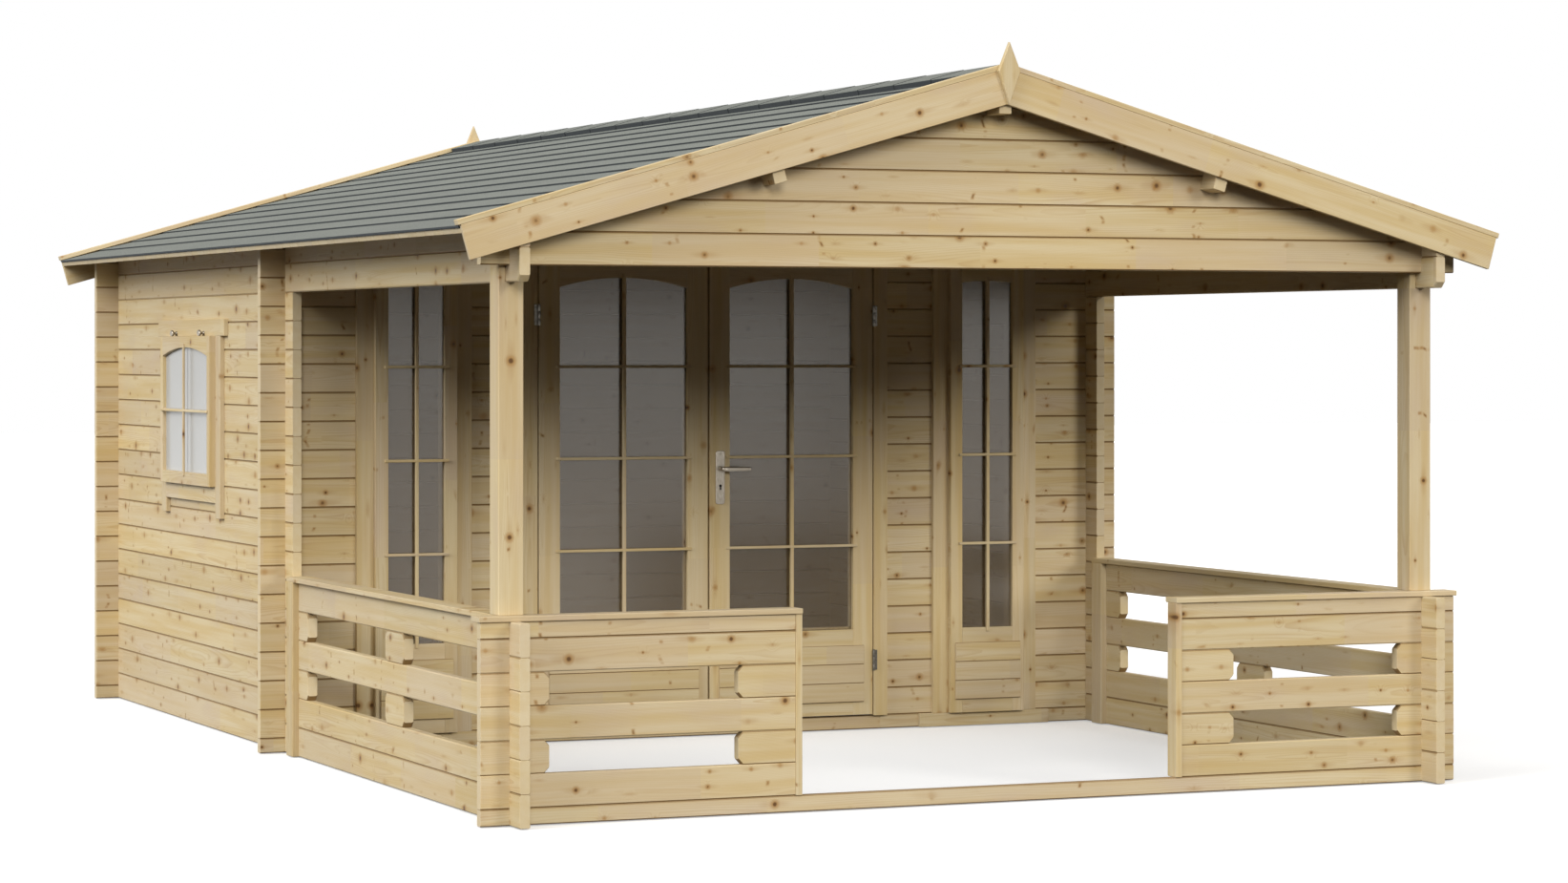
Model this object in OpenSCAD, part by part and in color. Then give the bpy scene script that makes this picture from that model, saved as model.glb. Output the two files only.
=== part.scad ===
// Gable-front log cabin with a roofed veranda, square-sawn interlocking logs.
// Millimetres, +Z up, front faces -Y, footprint centred on the origin.

/* [Plan] */
// Width over the outer faces of the side walls
cabin_w = 3604; // [3000:1:5000]
// Depth of the closed room, over the faces of its front and rear walls
cabin_d = 2775; // [2000:1:4000]
// Depth of the veranda, front logs to the room's front wall
veranda_d = 2690; // [1500:1:3500]

/* [Logs] */
// Height of one log, joint to joint
log_h = 114; // [90:1:160]
// Thickness of a log
log_t = 38; // [28:1:70]
// Length of log left beyond a corner crossing
stub = 102; // [60:1:160]
// Leg of the chamfer along each log edge
groove = 4; // [2:0.5:8]

/* [Roof] */
// Pitch of both roof slopes in degrees
pitch = 15.83; // [8:0.01:30]
// Height of the barge boards' lower edges where they meet under the ridge
barge_apex_z = 2455; // [2200:1:3000]
// Length of a barge board down the slope, from the ridge line
barge_run = 2058; // [1800:1:3000]
// Overhang of the purlins behind the rear wall
rear_over = 190; // [100:1:400]

/* [Doors] */
// Width of the clear opening between the door posts
door_clear_w = 1498; // [1200:1:1700]
// Underside of the door leaves above the foundation
leaf_z0 = 63; // [60:1:90]
// Top of the door leaves
leaf_z1 = 1946; // [1800:1:1950]

/* [Windows] */
// Distance of the tall windows from the middle of the front wall
tall_x = 1271; // [1150:1:1400]
// Middle of the side window, behind the room's front wall face
side_win_y = 1387; // [900:1:1900]

/* [Hidden] */

eps = 1;                        // overrun of a cut past the face it starts from
seat = 0.2;                     // clearance where one roof layer bears on another
half_w = cabin_w / 2;
barge_t = 18;                   // thickness of a barge board and of a finial
total_d = stub + 2 * barge_t + veranda_d + cabin_d + rear_over + 2 * barge_t;
front_y = -total_d / 2 + stub + 2 * barge_t;    // outer face of the front logs
room_y = front_y + veranda_d;                   // outer face of the front wall
rear_y = room_y + cabin_d;                      // outer face of the rear wall
wood = "burlywood";

// roof layers, measured square to the slope from the barge boards' lower edge
deck_n = 92;
deck_t = 19;
shingle_t = 10;
cap_n = deck_n + deck_t + shingle_t;
cap_t = 19;
cap_w = 40;
ridge_cap_t = 18;
ridge_cap_run = 100;
deck_apex_z = barge_apex_z + deck_n / cos(pitch);
purlin_w = 48;
ridge_z = 2423;
purlin_x = 891;
purlin_deep = 135;
roof_y0 = front_y - stub;
roof_y1 = rear_y + rear_over;

wall_top = 16 * log_h;
gable_z = 16.5 * log_h;
head_z = 17.5 * log_h;
rail_z = 6 * log_h;
rail_t = 19;
rail_w = 88;
rail_out = 25;                  // the side rails overhang the logs by this
rail_lap = 10;                  // the front rails overhang them by this
block_l = 104;                  // corner spacer block, past the crossing log
board_t = 24;                   // upright board closing a balustrade's end
board_w = 66;
entry_x = 757;                  // from the middle to an entrance end board
post_w = 90;
cover_w = 88;

function joints(z0, z1, first) =
    [for (z = first; z < z1 - groove; z = z + log_h) if (z > z0 + groove) z];

// upright cross-section of stacked logs with a V at every joint
function log_section(z0, z1, js) = concat(
    [[groove, z0], [0, z0 + groove]],
    [for (z = js) each [[0, z - groove], [groove, z], [0, z + groove]]],
    [[0, z1 - groove], [groove, z1], [log_t - groove, z1], [log_t, z1 - groove]],
    [for (i = [len(js) - 1 : -1 : 0]) each [[log_t, js[i] + groove],
        [log_t - groove, js[i]], [log_t, js[i] - groove]]],
    [[log_t, z0 + groove], [log_t - groove, z0]]);

// logs running across the front or rear: whole joints fall half a log up
module cross_logs(x0, x1, y, z0, z1)
    translate([x0, y, 0]) rotate([90, 0, 90]) linear_extrude(x1 - x0)
        polygon(log_section(z0, z1, joints(z0, z1, log_h / 2)));

// logs running front to back on the side x = x .. x + log_t
module side_logs(x, y0, y1, z0, z1)
    translate([x, y1, 0]) rotate([90, 0, 0]) linear_extrude(y1 - y0)
        polygon(log_section(z0, z1, joints(z0, z1, log_h)));

// material the crossing logs keep where two walls meet
module cross_keep(x, y, z0, z1)
    for (z = [0 : log_h : z1])
        if (z + log_h / 4 > z0)
            translate([x, y - eps, z - log_h / 4]) cube([log_t, log_t + 2 * eps, log_h / 2]);

module side_keep(x, y, z0, z1)
    for (z = [log_h / 2 : log_h : z1])
        if (z + log_h / 4 > z0)
            translate([x - eps, y, z - log_h / 4]) cube([log_t + 2 * eps, log_t, log_h / 2]);

module left_and_right() for (s = [0, 1]) mirror([s, 0, 0]) children();

// ---- roof frame -----------------------------------------------------------

// a layer of the left slope in cross-section, ridge end cut plumb
function slope_end(n, run) = [-run * cos(pitch) - n * sin(pitch),
    barge_apex_z - run * sin(pitch) + n * cos(pitch)];
function ridge_end(n) = [0, barge_apex_z + n / cos(pitch)];
function mirrored(p) = [-p[0], p[1]];
module slope_layer(n0, n1, run)
    polygon([ridge_end(n0), slope_end(n0, run), slope_end(n1, run), ridge_end(n1)]);

// the same layer on both slopes at once
module both_slopes(n0, n1, run)
    polygon([ridge_end(n0), slope_end(n0, run), slope_end(n1, run), ridge_end(n1),
        mirrored(slope_end(n1, run)), mirrored(slope_end(n0, run))]);

module along(y0, y1) translate([0, y1, 0]) rotate([90, 0, 0]) linear_extrude(y1 - y0) children();

// over is the height by which a cutting copy runs past the deck
module ridge_section(over = 0)
    polygon([[-purlin_w / 2, ridge_z], [purlin_w / 2, ridge_z],
        [purlin_w / 2, deck_apex_z - tan(pitch) * purlin_w / 2 + over], [0, deck_apex_z + over],
        [-purlin_w / 2, deck_apex_z - tan(pitch) * purlin_w / 2 + over]]);

module purlin_section(over = 0)
    translate([-purlin_x, deck_apex_z - seat - tan(pitch) * purlin_x]) rotate(pitch)
        translate([-purlin_w / 2, -purlin_deep]) square([purlin_w, purlin_deep + over]);

module under_deck()
    translate([0, deck_apex_z - seat]) polygon([[0, 0], [-3000, -3000 * tan(pitch)],
        [-3000, -4000], [3000, -4000], [3000, -3000 * tan(pitch)]]);

// keeps what lies below the roof deck and clear of the purlins
module fit_under_roof(y0, y1) {
    difference() {
        intersection() {
            children();
            along(y0 - eps, y1 + eps) under_deck();
        }
        along(y0 - 2 * eps, y1 + 2 * eps) ridge_section(20);
        left_and_right() along(y0 - 2 * eps, y1 + 2 * eps) purlin_section(20);
    }
}

module ridge_purlin() color(wood) along(roof_y0, roof_y1) ridge_section();
module purlin_left() color(wood) along(roof_y0, roof_y1) purlin_section();
module purlin_right() mirror([1, 0, 0]) purlin_left();

module roof_deck_left() color(wood) along(roof_y0, roof_y1)
    slope_layer(deck_n, deck_n + deck_t, barge_run);
module roof_deck_right() mirror([1, 0, 0]) roof_deck_left();

module shingles_left() color("slategray") {
    along(roof_y0, roof_y1) slope_layer(deck_n + deck_t + seat, cap_n, barge_run + 6);
    along(roof_y0 - barge_t + cap_w, roof_y1 + barge_t - cap_w)
        slope_layer(cap_n, cap_n + ridge_cap_t, ridge_cap_run);
}
module shingles_right() mirror([1, 0, 0]) shingles_left();

// two barge boards with their cap boards and the diamond over the joint;
// y is the boards' inner face, out is -1 at the front and 1 at the rear
module barge(y, out) color(wood) {
    y1 = y + out * barge_t;
    along(min(y, y1), max(y, y1)) both_slopes(0, cap_n + eps, barge_run);
    along(min(y1, y1 - out * cap_w), max(y1, y1 - out * cap_w))
        both_slopes(cap_n, cap_n + cap_t, barge_run + 8);
    y2 = y1 + out * barge_t;
    along(min(y1 - out * eps, y2), max(y1 - out * eps, y2))
        polygon([[0, barge_apex_z + 2], [42, barge_apex_z + 116],
            [0, barge_apex_z + 218], [-42, barge_apex_z + 116]]);
}
module front_barge() barge(roof_y0, -1);
module rear_barge() barge(roof_y1, 1);

// ---- room -----------------------------------------------------------------

win_y = room_y + side_win_y;
sash_half = 406;
sash_z0 = 1021;
sash_z1 = 1654;

module side_wall() difference() {
    side_logs(-half_w, room_y - stub, rear_y + stub, 0, wall_top);
    cross_keep(-half_w, room_y, 0, wall_top);
    cross_keep(-half_w, rear_y - log_t, 0, wall_top);
}
module left_wall() color(wood) difference() {
    side_wall();
    translate([-half_w - eps, win_y - sash_half, sash_z0])
        cube([log_t + 2 * eps, 2 * sash_half, sash_z1 - sash_z0]);
}
module right_wall() color(wood) mirror([1, 0, 0]) side_wall();

// the long upper logs of a side, carried from the veranda to the rear
module left_top_log() color(wood) fit_under_roof(front_y - stub, rear_y + stub) difference() {
    side_logs(-half_w, front_y - stub, rear_y + stub, wall_top, 18.5 * log_h);
    for (y = [front_y, room_y, rear_y - log_t])
        for (k = y == front_y ? [17, 18] : [16, 17, 18])
            translate([-half_w, y - eps, (k - 0.25) * log_h])
                cube([log_t, log_t + 2 * eps, log_h / 2]);
    translate([-half_w - eps, front_y - stub, wall_top]) rotate([45, 0, 0])
        translate([0, -14, -14]) cube([log_t + 2 * eps, 28, 28]);
}
module right_top_log() mirror([1, 0, 0]) left_top_log();

// cuts the side logs' share out of a wall that crosses them left and right
module crossings(y, z0, z1) difference() {
    children();
    left_and_right() side_keep(-half_w, y, z0, z1);
}

module cross_wall(y, z1) crossings(y, 0, z1)
    cross_logs(-half_w - stub, half_w + stub, y, 0, z1);

module gable_logs(y, z0) fit_under_roof(y, y + log_t) crossings(y, z0, 18 * log_h)
    cross_logs(-half_w, half_w, y, z0, 22.5 * log_h);

module rear_wall() color(wood) {
    cross_wall(rear_y - log_t, head_z);
    gable_logs(rear_y - log_t, head_z);
}
module inner_gable() color(wood) gable_logs(room_y, head_z);

tall_sash_half = 172;
tall_z1 = 1940;
frame_half = door_clear_w / 2 + 40;     // half of the hole in the logs
module front_wall_left() color(wood) difference() {
    cross_wall(room_y, head_z);
    translate([-frame_half, room_y - eps, -eps]) cube([cabin_w, log_t + 2 * eps, head_z + 2 * eps]);
    translate([-tall_x - tall_sash_half, room_y - eps, log_h / 2])
        cube([2 * tall_sash_half, log_t + 2 * eps, tall_z1 - log_h / 2]);
}
module front_wall_right() mirror([1, 0, 0]) front_wall_left();
module door_sill_log() color(wood) cross_logs(-frame_half, frame_half, room_y, 0, log_h / 2);

// ---- doors ----------------------------------------------------------------

frame_out = 25;                 // the door posts stand this far before the logs
frame_face = 64;
leaf_t = 38;
leaf_gap = 5;
meet_gap = 4;
stile = 90;
leaf_w = door_clear_w / 2 - leaf_gap - meet_gap;
door_y = room_y - frame_out;    // outer face of the leaves
leaf_glass_z0 = 422;
leaf_spring_z = 1851;
leaf_rise = 40;
glass_t = 4;

// a light with a shallow arched head, in the X-Z plane
module arched_light(half, z0, z_spring, rise) {
    r = (half * half + rise * rise) / (2 * rise);
    intersection() {
        translate([-half, z0]) square([2 * half, z_spring + rise - z0]);
        translate([0, z_spring + rise - r]) circle(r = r, $fn = 180);
    }
}

module door_frame() color(wood) {
    left_and_right() {
        translate([-door_clear_w / 2 - frame_face, door_y, log_h / 2])
            cube([frame_face, frame_out, head_z - log_h / 2]);
        translate([-frame_half, room_y, log_h / 2])
            cube([frame_half - door_clear_w / 2, log_t, head_z - log_h / 2]);
    }
    translate([-door_clear_w / 2, door_y, leaf_z1 + leaf_gap])
        cube([door_clear_w, frame_out + log_t, head_z - leaf_z1 - leaf_gap]);
}

// leaf with its outer edge at x = 0 and its body towards +X, front face at y = 0
module leaf() {
    light_half = leaf_w / 2 - stile;
    difference() {
        translate([0, 0, leaf_z0]) cube([leaf_w, leaf_t, leaf_z1 - leaf_z0]);
        translate([leaf_w / 2, leaf_t + eps, 0]) rotate([90, 0, 0]) linear_extrude(leaf_t + 2 * eps)
            arched_light(light_half, leaf_glass_z0, leaf_spring_z, leaf_rise);
    }
    translate([leaf_w / 2 - light_half - 47, -12, 119]) cube([2 * light_half + 94, 12, 237]);
}

module leaf_pane() translate([leaf_w / 2, 18 + glass_t, 0]) rotate([90, 0, 0])
    linear_extrude(glass_t) arched_light(leaf_w / 2 - stile, leaf_glass_z0, leaf_spring_z, leaf_rise);

lever_x = meet_gap + 46;
lever_z = 1103;
spindle_d = 18;
module at_left_leaf() translate([-door_clear_w / 2 + leaf_gap, door_y, 0]) children();
module spindle_hole(y0, y1, d) translate([lever_x, y1, lever_z]) rotate([90, 0, 0])
    cylinder(h = y1 - y0, d = d, $fn = 48);

module door_leaf_left() color(wood) at_left_leaf() leaf();
module door_leaf_right() color(wood) difference() {
    mirror([1, 0, 0]) at_left_leaf() leaf();
    spindle_hole(door_y - eps, door_y + leaf_t + eps, spindle_d + 6);
}
module door_glass_left() color("lightsteelblue") at_left_leaf() leaf_pane();
module door_glass_right() mirror([1, 0, 0]) door_glass_left();

plate_t = 6;
module door_plates() color("silver") for (y = [door_y - plate_t, door_y + leaf_t])
    difference() {
        translate([lever_x - 20, y, 957]) cube([40, plate_t, 221]);
        spindle_hole(y - eps, y + plate_t + eps, spindle_d + 4);
    }

lever_off = 48;                 // arm's middle line before the leaf's face
module lever_arm(y) {
    translate([lever_x, y + 5, lever_z]) rotate([90, 0, 0]) cylinder(h = 10, d = 20, $fn = 48);
    translate([lever_x, y - 5, lever_z - 9]) cube([112, 10, 18]);
    translate([lever_x + 112, y + 5, lever_z]) rotate([90, 0, 0])
        cylinder(h = 10, d = 18, $fn = 48);
}
module door_lever() color("silver") {
    spindle_hole(door_y - lever_off, door_y + leaf_t + lever_off, spindle_d);
    lever_arm(door_y - lever_off);
    lever_arm(door_y + leaf_t + lever_off);
}

pin_x = door_clear_w / 2 - leaf_gap / 2;
pin_y = door_y - 8;
module door_hinges() color("gray") left_and_right() for (z = [248, 1694])
    translate([-pin_x, pin_y, z]) {
        cylinder(h = 88, d = 12, $fn = 48);
        translate([-26, 5, 0]) cube([26, 3, 88]);
    }

// ---- windows --------------------------------------------------------------

casing_t = 20;
sash_out = 46;
tall_glass_half = 118;
tall_glass_z0 = 417;
tall_spring_z = 1881;
tall_rise = 8;
module tall_window_left() color(wood) translate([-tall_x, room_y, 0]) {
    for (s = [-1, 1])
        translate([s * 207 - 35, -casing_t, log_h / 2]) cube([70, casing_t, tall_z1 - log_h / 2]);
    translate([-300, -casing_t, tall_z1]) cube([600, casing_t, 70]);
    translate([-304, -casing_t, 0]) cube([608, casing_t, log_h / 2]);
    difference() {
        translate([-tall_sash_half, -sash_out, log_h / 2])
            cube([2 * tall_sash_half, sash_out + log_t, tall_z1 - log_h / 2]);
        translate([0, log_t + eps, 0]) rotate([90, 0, 0]) linear_extrude(sash_out + log_t + 2 * eps)
            arched_light(tall_glass_half, tall_glass_z0, tall_spring_z, tall_rise);
    }
    translate([-152, -sash_out - 12, 115]) cube([304, 12, 240]);
}
module tall_window_right() mirror([1, 0, 0]) tall_window_left();

module tall_glass_left() color("lightsteelblue") translate([-tall_x, room_y - sash_out + 20, 0])
    rotate([90, 0, 0]) linear_extrude(glass_t)
        arched_light(tall_glass_half, tall_glass_z0, tall_spring_z, tall_rise);
module tall_glass_right() mirror([1, 0, 0]) tall_glass_left();

module side_light() arched_light(366, 1073, 1569, 37);
// drawn as if on a front wall, then turned to face -X
module on_left_wall() translate([-half_w, win_y, 0]) rotate([0, 0, -90]) children();
module side_window() color(wood) on_left_wall() {
    for (s = [-1, 1])
        translate([s * (sash_half + 38) - 38, -casing_t, 890]) cube([76, casing_t, sash_z1 - 890]);
    translate([-540, -casing_t, sash_z1]) cube([1080, casing_t, 70]);
    translate([-sash_half, -casing_t, 953]) cube([2 * sash_half, casing_t, sash_z0 - 953]);
    difference() {
        translate([-sash_half, -sash_out, sash_z0])
            cube([2 * sash_half, sash_out + log_t, sash_z1 - sash_z0]);
        translate([0, log_t + eps, 0]) rotate([90, 0, 0]) linear_extrude(sash_out + log_t + 2 * eps)
            side_light();
    }
}
module side_window_glass() color("lightsteelblue") on_left_wall()
    translate([0, -sash_out + 20, 0]) rotate([90, 0, 0]) linear_extrude(glass_t) side_light();

// ---- veranda --------------------------------------------------------------

module veranda_gable() color(wood) {
    gable_logs(front_y, gable_z);
    left_and_right() cross_logs(-half_w - stub, -half_w, front_y, gable_z, head_z);
}

module front_sill_log() color(wood) crossings(front_y, 0, 0.6 * log_h)
    cross_logs(-half_w - stub, half_w + stub, front_y, 0, log_h / 2);

// gap between two logs, wider along both logs where the spacer blocks' corners are cut
module gap(l, h, deep) {
    cut = 18;
    rotate([90, 0, 90]) linear_extrude(deep) polygon([[-cut, 0], [l + cut, 0], [l, cut],
        [l, h - cut], [l + cut, h], [-cut, h], [0, h - cut], [0, cut]]);
}

side_gap_0 = front_y + log_t + block_l;
cover_y = room_y - stub - cover_w;
module left_balustrade() color(wood) difference() {
    side_logs(-half_w, front_y - stub, cover_y, 0, rail_z);
    cross_keep(-half_w, front_y, 0, rail_z);
    for (z = [2 * log_h, 4 * log_h]) {
        translate([-half_w - eps, side_gap_0, z]) gap(1015, log_h, log_t + 2 * eps);
        translate([-half_w - eps, side_gap_0 + 1235, z]) gap(995, log_h, log_t + 2 * eps);
    }
}
module right_balustrade() mirror([1, 0, 0]) left_balustrade();

module front_balustrade_left() color(wood) {
    difference() {
        cross_logs(-half_w - stub, -entry_x, front_y, log_h / 2, rail_z);
        side_keep(-half_w, front_y, log_h / 2, rail_z);
        for (z = [1.5 * log_h, 3.5 * log_h])
            translate([-half_w + log_t + block_l, front_y + log_t + eps, z]) rotate([0, 0, -90])
                gap(half_w - log_t - block_l - entry_x - 214, log_h, log_t + 2 * eps);
    }
    translate([-entry_x, front_y - 4, log_h / 2]) cube([board_t, board_w, rail_z - log_h / 2]);
}
module front_balustrade_right() mirror([1, 0, 0]) front_balustrade_left();

module left_rail() color(wood) {
    translate([-half_w - stub - 8, front_y - rail_lap, rail_z])
        cube([half_w + stub + 8 - entry_x + board_t, rail_w, rail_t]);
    translate([-half_w - rail_out, front_y - rail_lap + rail_w, rail_z])
        cube([rail_w, veranda_d - stub + rail_lap - rail_w, rail_t]);
}
module right_rail() mirror([1, 0, 0]) left_rail();

module cover_post_left() color(wood) translate([-half_w - rail_out, cover_y, 0])
    cube([rail_w, cover_w, rail_z]);
module cover_post_right() mirror([1, 0, 0]) cover_post_left();

// stands on the corner of the rails and straddles the top log
module veranda_post_left() color(wood) difference() {
    translate([-half_w + log_t / 2 - post_w / 2, front_y + log_t, rail_z + rail_t])
        cube([post_w, post_w, 17 * log_h - rail_z - rail_t]);
    translate([-half_w, front_y + log_t - eps, wall_top])
        cube([log_t, post_w + 2 * eps, log_h + eps]);
}
module veranda_post_right() mirror([1, 0, 0]) veranda_post_left();

// ---- parts ----------------------------------------------------------------

left_wall();
right_wall();
rear_wall();
front_wall_left();
front_wall_right();
inner_gable();
veranda_gable();
left_top_log();
right_top_log();
door_sill_log();
front_sill_log();
left_balustrade();
right_balustrade();
front_balustrade_left();
front_balustrade_right();
left_rail();
right_rail();
cover_post_left();
cover_post_right();
veranda_post_left();
veranda_post_right();
ridge_purlin();
purlin_left();
purlin_right();
roof_deck_left();
roof_deck_right();
shingles_left();
shingles_right();
front_barge();
rear_barge();
door_frame();
door_leaf_left();
door_leaf_right();
door_glass_left();
door_glass_right();
door_plates();
door_lever();
door_hinges();
tall_window_left();
tall_window_right();
tall_glass_left();
tall_glass_right();
side_window();
side_window_glass();
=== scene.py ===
# Gable-front log cabin with a roofed veranda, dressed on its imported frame.
import math
import bpy
import numpy as np
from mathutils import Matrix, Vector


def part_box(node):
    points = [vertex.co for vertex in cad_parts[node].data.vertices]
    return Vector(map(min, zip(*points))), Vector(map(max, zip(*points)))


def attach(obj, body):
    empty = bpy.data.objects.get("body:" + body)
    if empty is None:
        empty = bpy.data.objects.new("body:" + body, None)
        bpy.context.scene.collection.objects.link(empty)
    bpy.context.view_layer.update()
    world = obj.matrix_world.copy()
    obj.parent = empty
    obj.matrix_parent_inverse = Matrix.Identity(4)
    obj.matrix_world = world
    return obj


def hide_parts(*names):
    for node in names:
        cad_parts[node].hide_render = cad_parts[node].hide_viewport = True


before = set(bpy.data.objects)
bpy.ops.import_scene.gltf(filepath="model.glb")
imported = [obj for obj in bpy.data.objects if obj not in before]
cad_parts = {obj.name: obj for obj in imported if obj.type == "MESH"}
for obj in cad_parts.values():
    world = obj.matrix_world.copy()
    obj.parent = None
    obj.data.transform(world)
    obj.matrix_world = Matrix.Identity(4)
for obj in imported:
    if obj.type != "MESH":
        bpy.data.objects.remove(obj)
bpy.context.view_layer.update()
mm = 0.001
rng = np.random.default_rng(41)
print("frame loaded:", len(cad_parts), "nodes")


def cad(node):                                   # a node's lowest and highest corner in millimetres
    low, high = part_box(node)
    return np.round(np.array(low) / mm, 2), np.round(np.array(high) / mm, 2)


# Solids are measured in millimetres, and joinedMesh turns them into metres. The finishes and
# the camera are measured in metres.

# Rings of points become one closed solid: quads join each ring to the next, and a flat
# face closes each end. The sign of the enclosed volume decides which way the faces turn.
def closedSolid(rings, grain, tone, smooth=False, endGrain=1.0, material=0):
    count, points = rings.shape[:2]
    first = np.arange(count - 1)[:, None] * points
    step = np.arange(points)
    quads = np.stack([first + step, first + (step + 1) % points,
                      first + points + (step + 1) % points, first + points + step], -1).reshape(-1, 4)
    caps = np.stack([step[::-1], (count - 1) * points + step])
    flat = rings.reshape(-1, 3)
    fans = np.concatenate([quads[:, [0, 1, 2]], quads[:, [0, 2, 3]]] + [
        np.stack([np.full(points - 2, cap[0]), cap[1:-1], cap[2:]], -1) for cap in caps])
    a, b, c = (flat[fans[:, k]] - flat[0] for k in range(3))
    if np.einsum("ij,ij->i", a, np.cross(b, c)).sum() < 0:
        quads, caps = quads[:, ::-1], caps[:, ::-1]
    kind = np.tile(np.append(tone, 0.0), (len(quads) + 2, 1))
    kind[-2:, 2] = endGrain
    return {"points": flat, "grain": grain.reshape(-1, 3),
            "loops": np.concatenate([quads.ravel(), caps.ravel()]),
            "totals": np.array([4] * len(quads) + [points] * 2), "kind": kind,
            "smooth": np.array([smooth] * len(quads) + [False] * 2),
            "material": np.full(len(quads) + 2, material)}


def woodTone():                                  # how light and how warm one timber is
    return rng.uniform(0, 1, 2)


def pithOffset():                                # where the tree's heart lies beside a timber
    angle, reach = rng.uniform(0, 2 * math.pi), rng.uniform(22, 75)
    return np.array([rng.uniform(0, 40000), reach * math.cos(angle), reach * math.sin(angle)])


# the rows give the directions of a timber's run, its height and its depth
alongX = np.array([[1, 0, 0], [0, 0, 1], [0, 1, 0]], float)
alongY = np.array([[0, 1, 0], [0, 0, 1], [1, 0, 0]], float)
upright = np.array([[0, 0, 1], [1, 0, 0], [0, 1, 0]], float)


# A rectangle with eased edges carried along a straight run. At station run[i] the section
# reaches from low[i] to high[i] in height and from near[i] to far[i] in depth. leanUp and
# leanDeep push a point along the run in proportion to its height and depth, for mitres.
# joints says how deep in shade the eased lower and upper edges lie.
def timber(lay, run, low, high, near, far, ease=2.0, endEase=(1.5, 1.5), highFar=None, leanUp=0.0,
           leanDeep=0.0, origin=(0, 0, 0), tone=None, pith=None, joints=(0, 0)):
    run = np.atleast_1d(np.asarray(run, float))
    low, high, near, far, leanUp, leanDeep = (
        np.broadcast_to(np.asarray(v, float), run.shape).copy()
        for v in (low, high, near, far, leanUp, leanDeep))
    highFar = high.copy() if highFar is None else np.broadcast_to(
        np.asarray(highFar, float), run.shape).copy()
    for end, neighbour, cut in ((0, 1, endEase[0]), (-1, -2, endEase[1])):
        if cut > 0:
            def grown(values, change=0.0):       # one more station beyond this end
                return np.insert(values, 0 if end == 0 else len(values), values[end] + change)
            run = grown(run)
            run[neighbour] += cut if end == 0 else -cut
            low, high, highFar = grown(low, cut), grown(high, -cut), grown(highFar, -cut)
            near, far = grown(near, cut), grown(far, -cut)
            leanUp, leanDeep = grown(leanUp), grown(leanDeep)
    e = np.minimum(ease, 0.4 * np.minimum(np.minimum(high, highFar) - low, far - near))
    height = np.stack([low, low, low + e, highFar - e, highFar, high, high - e, low + e], -1)
    depth = np.stack([near + e, far - e, far, far, far - e, near + e, near, near], -1)
    length = run[:, None] + leanUp[:, None] * height + leanDeep[:, None] * depth
    local = np.stack([length, height, depth], -1)
    middle = np.array([run[0], (low.min() + high.max()) / 2, (near.min() + far.max()) / 2])
    grain = local - middle + (pithOffset() if pith is None else pith)
    rings = local @ lay + np.asarray(origin, float)
    solid = closedSolid(rings, grain, woodTone() if tone is None else tone)
    # painted shade on the eased edges at the joints, stored negative in the faces' third value, where end
    # grain is stored positive
    shadow = np.array([joints[0], joints[0], 0, joints[1], joints[1], joints[1], 0, joints[0]])
    solid["kind"][:-2, 2] = -np.tile(shadow, len(rings) - 1)
    return solid


# One row of a wall. Each cut is a box in run and height; where it takes the row's lower or
# upper edge the section steps, on two stations a hair apart, and where it takes the whole
# height the row is parted. The roof line is a height that falls evenly from the run's zero.
def logRow(lay, start, end, low, high, near, far, cuts=(), roof=None, corners=(0, 0), **more):
    marks = [start, end] + [c for cut in cuts for c in cut[:2]] + [start + corners[0], end - corners[1]]
    if roof:
        reach = (roof[0] - high) / roof[1]
        marks += [-reach, 0, reach]
    marks = np.unique(np.clip(marks, start, end))
    spans = np.stack([marks[:-1], marks[1:]], -1)
    spans = spans[spans[:, 1] - spans[:, 0] > 1]
    hair = np.array([0.2, -0.2])
    middle = spans.mean(1)
    bottom, top = np.full(len(spans), float(low)), np.full(len(spans), float(high))
    for a, b, z0, z1 in cuts:
        hit = (middle > a) & (middle < b)
        bottom = np.where(hit & (z0 <= bottom) & (z1 > bottom), z1, bottom)
        top = np.where(hit & (z1 >= top) & (z0 < top), z0, top)
    stations = spans + hair
    stations[0, 0], stations[-1, 1] = start, end
    bottoms = np.repeat(bottom[:, None], 2, 1)
    tops = np.repeat(top[:, None], 2, 1)
    if roof:
        tops = np.minimum(tops, roof[0] - roof[1] * np.abs(stations))
    if corners[0]:
        bottoms[0, 0] += corners[0]
        tops[0, 0] -= corners[0]
    if corners[1]:
        bottoms[-1, 1] += corners[1]
        tops[-1, 1] -= corners[1]
    alive = (tops - bottoms).max(1) > 5
    groups = np.split(np.arange(len(spans)), np.flatnonzero(np.diff(alive.astype(int))) + 1)
    pieces = []
    for group in groups:
        if len(group) and alive[group[0]]:
            tall = np.maximum(tops[group], bottoms[group] + 3)
            pieces.append(timber(lay, stations[group].ravel(), bottoms[group].ravel(), tall.ravel(),
                                 near, far, **more))
    return pieces


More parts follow.
